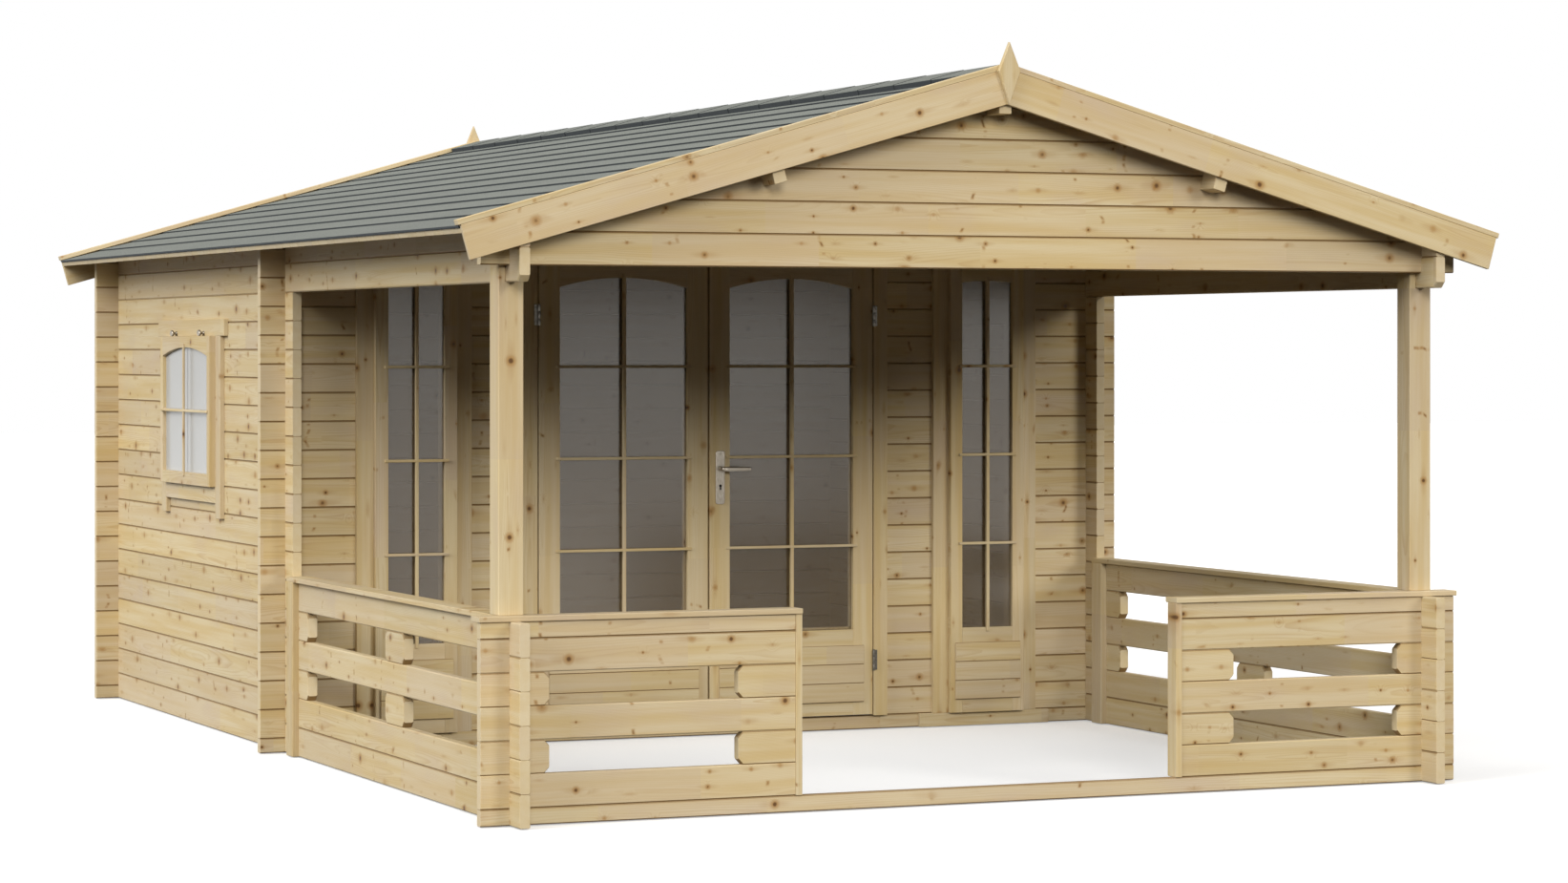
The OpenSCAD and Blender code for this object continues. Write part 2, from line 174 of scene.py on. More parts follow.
# A flat board of any outline: the outline is shrunk by the easing for the first and last
# ring and stands full between them. axes gives the directions of the outline and the depth.
def shapedBoard(outline, near, far, axes, ease=1.2, material=0):
    outline = np.asarray(outline, float)
    ahead = np.roll(outline, -1, 0) - outline
    ahead /= np.linalg.norm(ahead, axis=1)[:, None]
    normal = np.stack([ahead[:, 1], -ahead[:, 0]], -1)
    area = np.sum(outline[:, 0] * np.roll(outline[:, 1], -1) - outline[:, 1] * np.roll(outline[:, 0], -1))
    normal *= np.sign(area)
    bend = normal + np.roll(normal, 1, 0)
    inward = bend / np.sum(bend * bend, 1)[:, None] * 2
    inset = outline - inward * ease
    rings = np.stack([np.column_stack([ring, np.full(len(ring), d)]) for ring, d in
                      ((inset, near), (outline, near + ease), (outline, far - ease), (inset, far))])
    grain = rings - rings.reshape(-1, 3).mean(0) + pithOffset()
    return closedSolid(rings @ axes, grain, woodTone(), False, 0.0, material)


# A profile of radius against height turned about an axis: ring i has radius[i] at height[i].
# oval squeezes the circle across the axis.
def turned(radius, height, centre, axes=np.eye(3), segments=24, oval=1.0):
    turn = np.linspace(0, 2 * math.pi, segments, endpoint=False)
    circle = np.stack([np.cos(turn), oval * np.sin(turn)], -1)
    rings = np.concatenate([np.asarray(radius, float)[:, None, None] * circle,
                            np.broadcast_to(np.asarray(height, float)[:, None, None],
                                            (len(radius), segments, 1))], -1)
    return closedSolid(rings @ axes + np.asarray(centre, float), rings, np.zeros(2), True, 0.0)


# An ellipse carried along a path: ring i stands square to the path at path[i], with its
# half sizes wide[i] along the side direction and thick[i] across it.
def sweptBar(path, side, wide, thick, segments=20, power=2.6):
    path = np.asarray(path, float)
    ahead = np.gradient(path, axis=0)
    ahead /= np.linalg.norm(ahead, axis=1)[:, None]
    side = np.broadcast_to(np.asarray(side, float), path.shape)
    cross = np.cross(ahead, side)
    turn = np.linspace(0, 2 * math.pi, segments, endpoint=False)
    c, s = np.cos(turn), np.sin(turn)
    squircle = np.stack([np.sign(c) * np.abs(c) ** (2 / power), np.sign(s) * np.abs(s) ** (2 / power)])
    rings = (path[:, None] + side[:, None] * (squircle[0][None] * np.asarray(wide)[:, None])[..., None]
             + cross[:, None] * (squircle[1][None] * np.asarray(thick)[:, None])[..., None])
    return closedSolid(rings, rings, np.zeros(2), True, 0.0)


def mirrored(parts):                             # the same solids on the other side of the middle
    result = []
    for part in parts:
        twin = dict(part)
        twin["points"] = part["points"] * (-1, 1, 1)
        ends = np.cumsum(part["totals"])
        order = np.concatenate([np.arange(b - 1, a - 1, -1) for a, b in zip(ends - part["totals"], ends)])
        twin["loops"] = part["loops"][order]
        twin["grain"] = part["grain"] + pithOffset() * (1, 0.3, 0.3)
        twin["kind"] = part["kind"].copy()
        twin["kind"][:, :2] = (part["kind"][:, :2] + rng.uniform(0, 1, 2)) % 1
        result.append(twin)
    return result


# Solids joined in one mesh, with the grain's own coordinates kept on its points and each
# timber's tone kept on its faces.
def joinedMesh(name, parts, finishes):
    starts = np.cumsum([0] + [len(p["points"]) for p in parts[:-1]])    # each solid's first point
    points = np.concatenate([p["points"] for p in parts]) * mm
    loops = np.concatenate([p["loops"] + start for p, start in zip(parts, starts)])
    totals = np.concatenate([p["totals"] for p in parts])
    mesh = bpy.data.meshes.new(name)
    mesh.vertices.add(len(points))
    mesh.vertices.foreach_set("co", points.astype(np.float32).ravel())
    mesh.loops.add(len(loops))
    mesh.loops.foreach_set("vertex_index", loops.astype(np.int32))
    mesh.polygons.add(len(totals))
    for key, values in (("loop_start", np.cumsum(totals) - totals), ("loop_total", totals),
                        ("material_index", np.concatenate([p["material"] for p in parts]))):
        mesh.polygons.foreach_set(key, values.astype(np.int32))
    mesh.polygons.foreach_set("use_smooth", np.concatenate([p["smooth"] for p in parts]))
    for key, place, values in (("grainPos", "POINT", np.concatenate([p["grain"] for p in parts]) * mm),
                               ("grainKind", "FACE", np.concatenate([p["kind"] for p in parts]))):
        attribute = mesh.attributes.new(key, "FLOAT_VECTOR", place)
        attribute.data.foreach_set("vector", values.astype(np.float32).ravel())
    mesh.update(calc_edges=True)
    mesh.validate()
    for finish in finishes:
        mesh.materials.append(finish)
    joined = bpy.data.objects.new(name, mesh)
    bpy.context.scene.collection.objects.link(joined)
    return joined


# one mesh that rides on a body and stands for the replaced nodes
def makePiece(name, parts, finishes, body, replaced=()):
    piece = joinedMesh(name, parts, finishes)
    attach(piece, body)
    if replaced:
        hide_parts(*replaced)


# The left piece, and the right one as a mirror image that draws its own tones. Each name in
# nodes has a gap for the side.
def makePair(stem, build, finishes, nodes, bodies=("cabin", "cabin")):
    for side, turn, body in (("left", list, bodies[0]), ("right", mirrored, bodies[1])):
        makePiece(stem + side.capitalize(), turn(build()), finishes, body,
                  [node.format(side) for node in nodes])


class Wire:                                      # one node output; sums on it become Math nodes
    def __init__(self, node, out=0):
        self.node, self.socket = node, node.outputs[out] if len(node.outputs) else None

    def out(self, name):
        return Wire(self.node, name)

    # one node of a kind: settings first, then the values or wires of its sockets
    @staticmethod
    def add(tree, kind, settings=None, values=None, out=0):
        node = tree.nodes.new(kind)
        for key, value in (settings or {}).items():
            setattr(node, key, value)
        for key, value in (values or {}).items():
            if isinstance(value, Wire):
                tree.links.new(value.socket, node.inputs[key])
            else:
                node.inputs[key].default_value = value
        return Wire(node, out)

    def sum(self, operation, *others):
        return Wire.add(self.node.id_data, "ShaderNodeMath", {"operation": operation},
                        dict(enumerate((self, *others))))

    def reflected(self, operation, other):
        return Wire.add(self.node.id_data, "ShaderNodeMath", {"operation": operation}, {0: other, 1: self})

    def __add__(self, other):
        return self.sum("ADD", other)

    def __sub__(self, other):
        return self.sum("SUBTRACT", other)

    def __rsub__(self, other):
        return self.reflected("SUBTRACT", other)

    def __mul__(self, other):
        return self.sum("MULTIPLY", other)

    def __truediv__(self, other):
        return self.sum("DIVIDE", other)

    def __pow__(self, other):
        return self.sum("POWER", other)

    __radd__, __rmul__ = __add__, __mul__


def newFinish(name):
    finish = bpy.data.materials.new(name)
    finish.use_nodes = True
    tree = finish.node_tree
    shader = tree.nodes["Principled BSDF"]

    def add(kind, settings=None, values=None, out=0):
        return Wire.add(tree, kind, settings, values, out)

    def mixColour(mask, a, b, mode="MIX"):
        return add("ShaderNodeMix", {"data_type": "RGBA", "blend_type": mode}, {0: mask, 6: a, 7: b}, 2)

    def ramp(value, low, high):                  # 0 below low, 1 above high, smooth between
        return add("ShaderNodeMapRange", {"interpolation_type": "SMOOTHSTEP"},
                   {"Value": value, "From Min": low, "From Max": high})

    def feed(socket, wire):
        tree.links.new(wire.socket, shader.inputs[socket])
    return finish, shader, add, mixColour, ramp, feed


def linear(red, green, blue):                    # a colour as seen on screen, as linear light
    c = np.array([red, green, blue]) / 255
    return (*np.where(c <= 0.04045, c / 12.92, ((c + 0.055) / 1.055) ** 2.4).tolist(), 1)


# colours are as seen on screen, lengths in metres
spruce = {
    "pale": (205, 189, 154), "warm": (196, 173, 126), "lateWood": (174, 142, 92),
    "pink": (192, 173, 150), "cream": (207, 191, 159), "knot": (84, 54, 24), "halo": (156, 114, 56),
    # joint is the colour of the painted shade in the joints between timbers
    "joint": (132, 106, 68), "ringSpacing": 0.0046, "knotEvery": 0.15, "knotRows": 0.06, "knotLayers": 0.16,
    "knotShare": 0.46, "whorlEvery": 0.29, "whorlShare": 0.44, "jointLength": 0.62, "roughness": 0.62,
}


# Spruce as a tree grows: rings are the distance from a heart that wanders along the timber,
# knots are points strewn through the wood, and finger joints change heart and tone.
def makeSpruce(name, knotShare=1.0, depth=1.0):
    finish, shader, add, mixColour, ramp, feed = newFinish(name)
    place = add("ShaderNodeAttribute", {"attribute_name": "grainPos"}, out="Vector")
    kind = add("ShaderNodeAttribute", {"attribute_name": "grainKind"}, out="Vector")
    along = add("ShaderNodeSeparateXYZ", {}, {0: place})
    up, deep = along.out(1), along.out(2)
    tone = add("ShaderNodeSeparateXYZ", {}, {0: kind})
    hue, endFlag = tone.out(1), tone.out(2).sum("MAXIMUM", 0.0)
    grooveShade = (tone.out(2) * -1.0).sum("MAXIMUM", 0.0)

    joint = (along / spruce["jointLength"] + tone * 5.0).sum("FLOOR")
    jointRandom = add("ShaderNodeTexWhiteNoise", {"noise_dimensions": "1D"}, {"W": joint + hue * 31.0},
                      "Color")
    shift = add("ShaderNodeSeparateXYZ", {}, {0: jointRandom})

    def noise(scaleAlong, scaleAcross, detail=2.0, rough=0.5, out="Fac"):
        stretched = add("ShaderNodeCombineXYZ", {},
                        {0: along * scaleAlong, 1: up * scaleAcross, 2: deep * scaleAcross})
        return add("ShaderNodeTexNoise", {"noise_dimensions": "3D"},
                   {"Vector": stretched, "Scale": 1.0, "Detail": detail, "Roughness": rough}, out)

    wander = noise(1.1, 2.0, 1.0, out="Color")
    wanderXYZ = add("ShaderNodeSeparateXYZ", {}, {0: wander})
    heartUp = up + (shift.out(1) - 0.5) * 0.05 + (wanderXYZ - 0.5) * 0.060
    heartDeep = deep + (shift.out(2) - 0.5) * 0.03 + (wanderXYZ.out(1) - 0.5) * 0.050
    radius = (heartUp * heartUp + heartDeep * heartDeep) ** 0.5

    # knots: the nearest strewn point, measured in true metres
    every, rows, layers = spruce["knotEvery"], spruce["knotRows"], spruce["knotLayers"]
    knotPlace = add("ShaderNodeCombineXYZ", {}, {0: along / every, 1: up / rows, 2: deep / layers})
    cells = add("ShaderNodeTexVoronoi", {"feature": "F1", "voronoi_dimensions": "3D"},
                {"Vector": knotPlace, "Scale": 1.0, "Randomness": 1.0}, "Position")
    away = add("ShaderNodeVectorMath", {"operation": "SUBTRACT"}, {0: cells, 1: knotPlace})
    awayXYZ = add("ShaderNodeSeparateXYZ", {}, {0: away})
    knotAlong, knotUp, knotDeep = awayXYZ * every, awayXYZ.out(1) * rows, awayXYZ.out(2) * layers
    cellRandom = add("ShaderNodeSeparateXYZ", {}, {0: cells.out("Color")})
    wobble = noise(160, 160, 1.0)
    knotReach = (knotAlong * knotAlong + knotUp * knotUp + knotDeep * knotDeep * 0.02) ** 0.5
    knotReach = knotReach + (wobble - 0.5) * 0.0022
    border = add("ShaderNodeTexVoronoi", {"feature": "DISTANCE_TO_EDGE", "voronoi_dimensions": "3D"},
                 {"Vector": knotPlace, "Scale": 1.0, "Randomness": 1.0}, "Distance")
    present = cellRandom.sum("LESS_THAN", spruce["knotShare"] * knotShare) * ramp(border, 0.0, 0.13)
    knotSize = 0.0032 + cellRandom.out(1) ** 2.0 * 0.0088
    core = (1 - ramp(knotReach / knotSize, 0.45, 1.15)) * present
    halo = (1 - ramp(knotReach / knotSize, 0.8, 2.6)) * present
    streakReach = (knotAlong * knotAlong * 0.05 + knotUp * knotUp) ** 0.5
    streak = (1 - ramp(streakReach / knotSize, 0.2, 2.2)) * present

    # a whorl is a row of side shoots standing across the grain at one height of the tree
    turnNumber = along / spruce["whorlEvery"] + hue * 19.0
    whorlCell = (turnNumber + 0.5).sum("FLOOR")
    whorlNoise = add("ShaderNodeTexWhiteNoise", {"noise_dimensions": "1D"}, {"W": whorlCell + tone * 7.0},
                     "Color")
    whorlRandom = add("ShaderNodeSeparateXYZ", {}, {0: whorlNoise})
    shootPlace = add("ShaderNodeCombineXYZ", {}, {0: whorlCell * 3.7, 1: up * 42.0, 2: deep * 12.0})
    shoots = add("ShaderNodeTexNoise", {}, {"Vector": shootPlace, "Scale": 1.0, "Detail": 1.0})
    aside = (turnNumber - whorlCell - (whorlRandom - 0.5) * 0.6) * spruce["whorlEvery"]
    aside = aside + (noise(1.0, 38, 1.0) - 0.5) * 0.010 + (noise(0.6, 13, 1.0) - 0.5) * 0.070
    aside = aside.sum("ABSOLUTE")
    inWhorl = whorlRandom.out(1).sum("LESS_THAN", spruce["whorlShare"] * knotShare)
    whorl = (1 - ramp(aside, 0.0020, 0.0100)) * ramp(shoots, 0.51, 0.66) * inWhorl
    whorlHeart = (1 - ramp(aside, 0.0010, 0.0050)) * ramp(shoots, 0.62, 0.74) * inWhorl

    swirl = (1 - ramp(knotReach, 0.0, 0.030)) * present
    ripple = noise(2.2, 26, 2.0)
    phase = radius / spruce["ringSpacing"] + ripple * 1.3 + swirl * 2.4
    saw = phase.sum("FRACT")
    late = ramp(saw, 0.45, 0.97) * (1 - ramp(saw, 0.97, 1.0))
    bands = noise(1.3, 30, 2.0)
    blotch = noise(3.0, 9.0, 2.0)
    fibre = noise(14, 620, 2.0, 0.6)

    colour = mixColour(ramp(bands, 0.3, 0.72), linear(*spruce["pale"]), linear(*spruce["warm"]))
    colour = mixColour(late * (0.16 + 0.42 * ramp(blotch, 0.35, 0.75)), colour, linear(*spruce["lateWood"]))
    rosy = ramp(shift, 0.35, 0.95) * 0.35 + ramp(blotch, 0.5, 0.8) * 0.4
    colour = mixColour(rosy, colour, linear(*spruce["pink"]))
    colour = mixColour(ramp(fibre, 0.35, 0.8) * 0.10, colour, linear(*spruce["lateWood"]))
    colour = mixColour(endFlag * 0.55, colour, linear(*spruce["cream"]))
    colour = mixColour(streak * 0.30 * (1 - endFlag), colour, linear(*spruce["halo"]))
    colour = mixColour(halo * 0.68 * (1 - endFlag * 0.7), colour, linear(*spruce["halo"]))
    colour = mixColour(whorl * 0.66 * (1 - endFlag), colour, linear(*spruce["halo"]))
    colour = mixColour(whorlHeart * 0.6 * (1 - endFlag), colour, linear(*spruce["knot"]))
    colour = mixColour(core * 0.92 * (1 - endFlag * 0.7), colour, linear(*spruce["knot"]))
    # painted shade: the eased edges at the joints are mixed towards the joint colour, by the amounts each
    # timber was given
    colour = mixColour(grooveShade, colour, linear(*spruce["joint"]))
    level = (0.93 + tone * 0.10) * (0.97 + shift.out(1) * 0.06) * depth
    green, blue = level * (0.985 + hue * 0.02), level * (0.94 + hue * 0.09)
    shade = add("ShaderNodeCombineColor", {}, {0: level, 1: green, 2: blue})
    feed("Base Color", mixColour(1.0, colour, shade, "MULTIPLY"))
    feed("Roughness", spruce["roughness"] + (fibre - 0.5) * 0.16 - core * 0.15)
    relief = late * 0.35 + fibre * 0.35 + core * 0.5
    bump = add("ShaderNodeBump", {}, {"Strength": 0.35, "Distance": 0.0006, "Height": relief}, "Normal")
    feed("Normal", bump)
    shader.inputs["Specular IOR Level"].default_value = 0.28
    return finish


shingleLook = {"grey": (106, 109, 102), "dark": (92, 96, 91), "light": (136, 138, 130), "edge": (34, 36, 36)}


def makeShingle(name, dark=0.0):                 # mineral granules on bitumen
    finish, shader, add, mixColour, ramp, feed = newFinish(name)
    place = add("ShaderNodeTexCoord", {}, {}, "Object")
    granule = add("ShaderNodeTexNoise", {}, {"Vector": place, "Scale": 900.0, "Detail": 2.0})
    cloud = add("ShaderNodeTexNoise", {}, {"Vector": place, "Scale": 2.2, "Detail": 3.0})
    kind = add("ShaderNodeAttribute", {"attribute_name": "grainKind"}, out="Vector")
    tone = add("ShaderNodeSeparateXYZ", {}, {0: kind})
    colour = mixColour(ramp(cloud, 0.3, 0.7) * 0.35, linear(*shingleLook["grey"]),
                       linear(*shingleLook["dark"]))
    colour = mixColour(ramp(granule, 0.52, 0.7) * 0.5, colour, linear(*shingleLook["light"]))
    colour = mixColour((1 - ramp(granule, 0.3, 0.46)) * 0.5, colour, linear(*shingleLook["edge"]))
    level = (0.95 + tone * 0.10) * (1 - dark)
    shade = add("ShaderNodeCombineColor", {}, {0: level, 1: level, 2: level})
    feed("Base Color", mixColour(1.0, colour, shade, "MULTIPLY"))
    feed("Roughness", 0.82 + granule * 0.12)
    feed("Normal", add("ShaderNodeBump", {}, {"Strength": 0.6, "Distance": 0.0008, "Height": granule},
                       "Normal"))
    return finish


def makeBitumenEdge(name):                       # the cut edge of a shingle, black bitumen
    finish, shader, add, mixColour, ramp, feed = newFinish(name)
    place = add("ShaderNodeTexCoord", {}, {}, "Object")
    grit = add("ShaderNodeTexNoise", {}, {"Vector": place, "Scale": 300.0, "Detail": 2.0})
    feed("Base Color", mixColour(grit, linear(26, 30, 33), linear(52, 57, 60)))
    feed("Roughness", 0.75 + grit * 0.2)
    return finish


def makeMetal(name, base, dull, rough, flake=0.0):    # brushed, or zinc's spangle as flake grows
    finish, shader, add, mixColour, ramp, feed = newFinish(name)
    place = add("ShaderNodeTexCoord", {}, {}, "Object")
    drawn = add("ShaderNodeMapping", {}, {"Vector": place, "Scale": (900.0, 900.0, 60.0)})
    brushed = add("ShaderNodeTexNoise", {}, {"Vector": drawn, "Scale": 1.0, "Detail": 2.0})
    spangle = add("ShaderNodeTexVoronoi", {}, {"Vector": place, "Scale": 260.0}, "Color")
    spangleXYZ = add("ShaderNodeSeparateXYZ", {}, {0: spangle})
    colour = mixColour(ramp(brushed, 0.3, 0.7) * (1 - flake) + spangleXYZ * flake, linear(*base),
                       linear(*dull))
    feed("Base Color", colour)
    feed("Roughness", rough + brushed * 0.14 + spangleXYZ * 0.12 * flake)
    feed("Normal", add("ShaderNodeBump", {}, {"Strength": 0.15, "Distance": 0.0002, "Height": brushed},
                       "Normal"))
    shader.inputs["Metallic"].default_value = 0.92
    return finish


glassLook = {"bodyColour": (66, 51, 28), "alpha": 0.52, "bend": 2.37, "mirrorTint": (1.0, 0.955, 0.885),
             # sideReflection is the side pane's painted reflection of the bright surroundings, carried by a
             # nearly opaque body colour
             "sideReflection": (170, 169, 166), "sideAlpha": 0.94, "sideBend": 1.45,
             "sideMirrorTint": (1.0, 1.0, 1.0)}


def makeGlass(name, bodyColour, alpha, bend, mirrorTint):    # float glass, faintly streaked
    finish, shader, add, mixColour, ramp, feed = newFinish(name)
    place = add("ShaderNodeTexCoord", {}, {}, "Object")
    film = add("ShaderNodeTexNoise", {}, {"Vector": place, "Scale": 3.0, "Detail": 3.0})
    tone = linear(*bodyColour)
    # the pane's body colour stands for what shows in the glass; on the nearly opaque side pane it is a
    # painted reflection of the bright surroundings
    feed("Base Color", mixColour(film, tone, (*[c * 1.12 for c in tone[:3]], 1)))
    feed("Roughness", 0.20 + film * 0.04)
    feed("Alpha", alpha + (film - 0.5) * 0.04)
    shader.inputs["IOR"].default_value = bend
    shader.inputs["Specular Tint"].default_value = (*mirrorTint, 1)
    return finish


spruceLog = makeSpruce("spruceLog")
spruceBoard = makeSpruce("spruceBoard", 0.8, 0.965)
spruceJoinery = makeSpruce("spruceJoinery", 0.55)
spruceDeck = makeSpruce("spruceDeck", 0.9, 0.88)
shingleGrey = makeShingle("shingleGrey")
shingleCap = makeShingle("shingleCap", 0.12)
bitumenEdge = makeBitumenEdge("bitumenEdge")
satinNickel = makeMetal("satinNickel", (178, 169, 155), (136, 128, 116), 0.30)
galvanised = makeMetal("galvanised", (124, 119, 110), (90, 86, 80), 0.5, 0.6)
# the keyhole's black is painted shade: a thin dark sheet on the plate stands for the hole's unlit inside
keyholeShade = makeMetal("keyholeDark", (22, 21, 20), (12, 12, 12), 0.5)
houseGlass = makeGlass("houseGlass", *(glassLook[key] for key in ("bodyColour", "alpha", "bend", "mirrorTint")))
sideGlass = makeGlass("sideGlass", *(glassLook[key] for key in ("sideReflection", "sideAlpha", "sideBend",
                                                                "sideMirrorTint")))
print("finishes made")

# vee is how far the logs' edges slope back at a joint, and joints how deep in painted shade they lie in it
wall = {"logHeight": 114.0, "vee": 4.0, "endEase": 1.2, "doorHollow": 789.0, "joints": (1.0, 0.75),
        "plainRows": 18, "allRows": 23, "topRow": 16}
h = wall["logHeight"]
plainRows, allRows, topRow = wall["plainRows"], wall["allRows"], wall["topRow"]
notch = h / 4
overTopLogs = (plainRows + 0.5) * h
leftLow, leftHigh = cad("left_wall")
logT = leftHigh[0] - leftLow[0]
halfW = -leftLow[0]
frontY = cad("front_sill_log")[0][1]
roomY = cad("door_sill_log")[0][1]
rearY = cad("rear_wall")[1][1]
rearIn = rearY - logT
stubX = -cad("front_sill_log")[0][0]
logLook = {"ease": wall["vee"], "endEase": (wall["endEase"], wall["endEase"])}
shaded = {"joints": wall["joints"]}

# N is a layer's height square out of the slope, over the plane through the apex; T is a
# thickness
slope = {"pitch": math.radians(15.83), "apex": 2455.0, "deckN": 92.0, "deckT": 19.0, "shingleT": 10.0}
pitch = slope["pitch"]
tanP = math.tan(pitch)
deckApex = slope["apex"] + slope["deckN"] / math.cos(pitch)
roofLine = (deckApex - 0.2, tanP)


# Where walls cross, each log is notched from above and below, and keeps the middle half of
# its height.
def crossKeeps(at, lowest, highest):             # what the cross logs keep at a crossing
    return [(at, at + logT, k * h - notch, k * h + notch)
            for k in range(allRows) if lowest < k * h + notch and k * h - notch < highest]


def sideKeeps(lowest, highest):                  # what the side logs keep, left and right
    return [(x, x + logT, k * h + notch, (k + 1) * h - notch) for x in (-halfW, halfW - logT)
            for k in range(allRows) if lowest < (k + 1) * h - notch and k * h + notch < highest]


# rows of a side wall, narrowed where the walls at the crossings keep their room
def sideRows(start, end, first, last, crossings, holes=()):
    parts = []
    for k in range(first, last):
        cuts = [c for y in crossings for c in crossKeeps(y, k * h, (k + 1) * h)] + list(holes)
        parts += logRow(alongY, start, end, k * h, (k + 1) * h, -halfW, -halfW + logT, cuts, **logLook,
                        **shaded)
    return parts


# rows of a wall across the cabin; they lie half a row lower than the side walls' rows
def crossRows(start, end, near, first, last, keeps, holes=(), roof=None):
    parts = []
    for k in range(first, last):
        low, high = max((k - 0.5) * h, 0), (k + 0.5) * h
        ends = start, end
        if roof:                                 # a gable log starts where the roof leaves it room
            reach = (roof[0] - low - 9) / roof[1]
            ends = max(start, -reach), min(end, reach)
        parts += logRow(alongX, *ends, low, high, near, near + logT, [*keeps, *holes], roof, **logLook,
                        **shaded)
    return parts


sideWindow = {"middle": 1300.5, "sash": 406.0, "low": 1021.0, "high": 1654.0}
sideHole = [(sideWindow["middle"] - sideWindow["sash"], sideWindow["middle"] + sideWindow["sash"],
             sideWindow["low"], sideWindow["high"])]
sideEnds = leftLow[1], leftHigh[1]
wallTop = int(round(leftHigh[2] / h))
makePiece("leftWallLogs", sideRows(*sideEnds, 0, wallTop, (roomY, rearIn), sideHole), [spruceLog], "cabin",
          ["left_wall"])
makePiece("rightWallLogs", mirrored(sideRows(*sideEnds, 0, wallTop, (roomY, rearIn))), [spruceLog], "cabin",
          ["right_wall"])

keeps = sideKeeps(0, allRows * h)
rearParts = crossRows(-stubX, stubX, rearIn, 0, plainRows, keeps)
gableKeeps = sideKeeps((plainRows - 0.5) * h, overTopLogs)
rearParts += crossRows(-halfW, halfW, rearIn, plainRows, allRows, gableKeeps, roof=roofLine)
makePiece("rearWallLogs", rearParts, [spruceLog], "cabin", ["rear_wall"])
roomGable = crossRows(-halfW, halfW, roomY, plainRows, allRows, gableKeeps, roof=roofLine)
makePiece("roomGableLogs", roomGable, [spruceLog], "cabin", ["inner_gable"])

tallWindow = {"middle": 1271.0, "sash": 172.0, "high": 1940.0}
tallHole = [(-tallWindow["middle"] - tallWindow["sash"], -tallWindow["middle"] + tallWindow["sash"],
             0.5 * h, tallWindow["high"])]
doorHollow = wall["doorHollow"]
makePair("frontWallLogs", lambda: crossRows(-stubX, -doorHollow, roomY, 0, plainRows, keeps, tallHole),
         [spruceLog], ["front_wall_{}"])
makePiece("doorSillLog", crossRows(-doorHollow, doorHollow, roomY, 0, 1, ()), [spruceLog], "cabin",
          ["door_sill_log"])
makePiece("frontSillLog", crossRows(-stubX, stubX, frontY, 0, 1, sideKeeps(0, 0.5 * h)), [spruceLog],
          "cabin", ["front_sill_log"])
verandaGable = crossRows(-stubX, stubX, frontY, plainRows - 1, plainRows,
                         sideKeeps((plainRows - 1.5) * h, allRows * h))
verandaGable += crossRows(-halfW, halfW, frontY, plainRows, allRows, gableKeeps, roof=roofLine)
makePiece("verandaGableLogs", verandaGable, [spruceLog], "cabin", ["veranda_gable"])


# the two long top logs of a side; the upper one is planed to the roof's slope
def topLogs():
    start, end = cad("left_top_log")[0][1], cad("left_top_log")[1][1]
    nose = 20.0
    foot, joint = topRow * h, (topRow + 1) * h
    cuts = crossKeeps(roomY, foot, overTopLogs) + crossKeeps(rearIn, foot, overTopLogs)
    cuts += [c for c in crossKeeps(frontY, foot, overTopLogs) if c[2] > foot]
    lower = logRow(alongY, start + nose, end, foot, joint, -halfW, -halfW + logT, cuts,
                   ease=wall["vee"], endEase=(0, wall["endEase"]), joints=(0, 0.75))
    tip = timber(alongY, [start, start + nose], [foot + nose, foot], joint, -halfW, -halfW + logT,
                 ease=wall["vee"], endEase=(wall["endEase"], 0))
    tip["kind"][:, :2] = lower[0]["kind"][0, :2]
    nearTop = deckApex - 0.2 - tanP * halfW
    spans = [(start, frontY), (frontY + logT, roomY), (roomY + logT, rearIn), (rearIn + logT, end)]
    upper = [timber(alongY, span, joint, nearTop, -halfW, -halfW + logT, highFar=nearTop + tanP * logT,
                    joints=(1.0, 0), **logLook) for span in spans]
    return lower + [tip] + upper


makePair("topLogs", topLogs, [spruceLog], ["{}_top_log"])
print("walls built")

# the joints are the shade under and over each log, dark where the next log lies on it
balustrade = {"blockCut": 18.0, "rows": 6, "sideGaps": [(-2634.5, -1619.5), (-1399.5, -404.5)],
              "frontGap": (-1660.0, -971.0), "endBoard": (-757.0, -733.0), "endDeep": (-4.0, 62.0),
              "sideJoints": [(0, 0.75), (1, 0), (1, 0.75), (0, 0), (1, 0.75), (0, 0)],
              "frontJoints": [(1, 0), (1, 0.75), (0, 0), (1, 0.75), (0, 0.75), (1, 0)]}


def sideBalustrade():
    low, high = cad("left_balustrade")
    parts = []
    for k in range(balustrade["rows"]):
        crossing = crossKeeps(frontY, k * h, (k + 1) * h)
        spans = [(low[1], high[1], 0, 0)]
        if k in (2, 4):
            (a, b), (c, d) = balustrade["sideGaps"]
            cut = balustrade["blockCut"]
            spans = [(low[1], a, 0, cut), (b, c, cut, cut), (d, high[1], cut, 0)]
        for a, b, cutA, cutB in spans:
            parts += logRow(alongY, a, b, k * h, (k + 1) * h, -halfW, -halfW + logT, crossing,
                            corners=(cutA, cutB), joints=balustrade["sideJoints"][k], **logLook)
    return parts


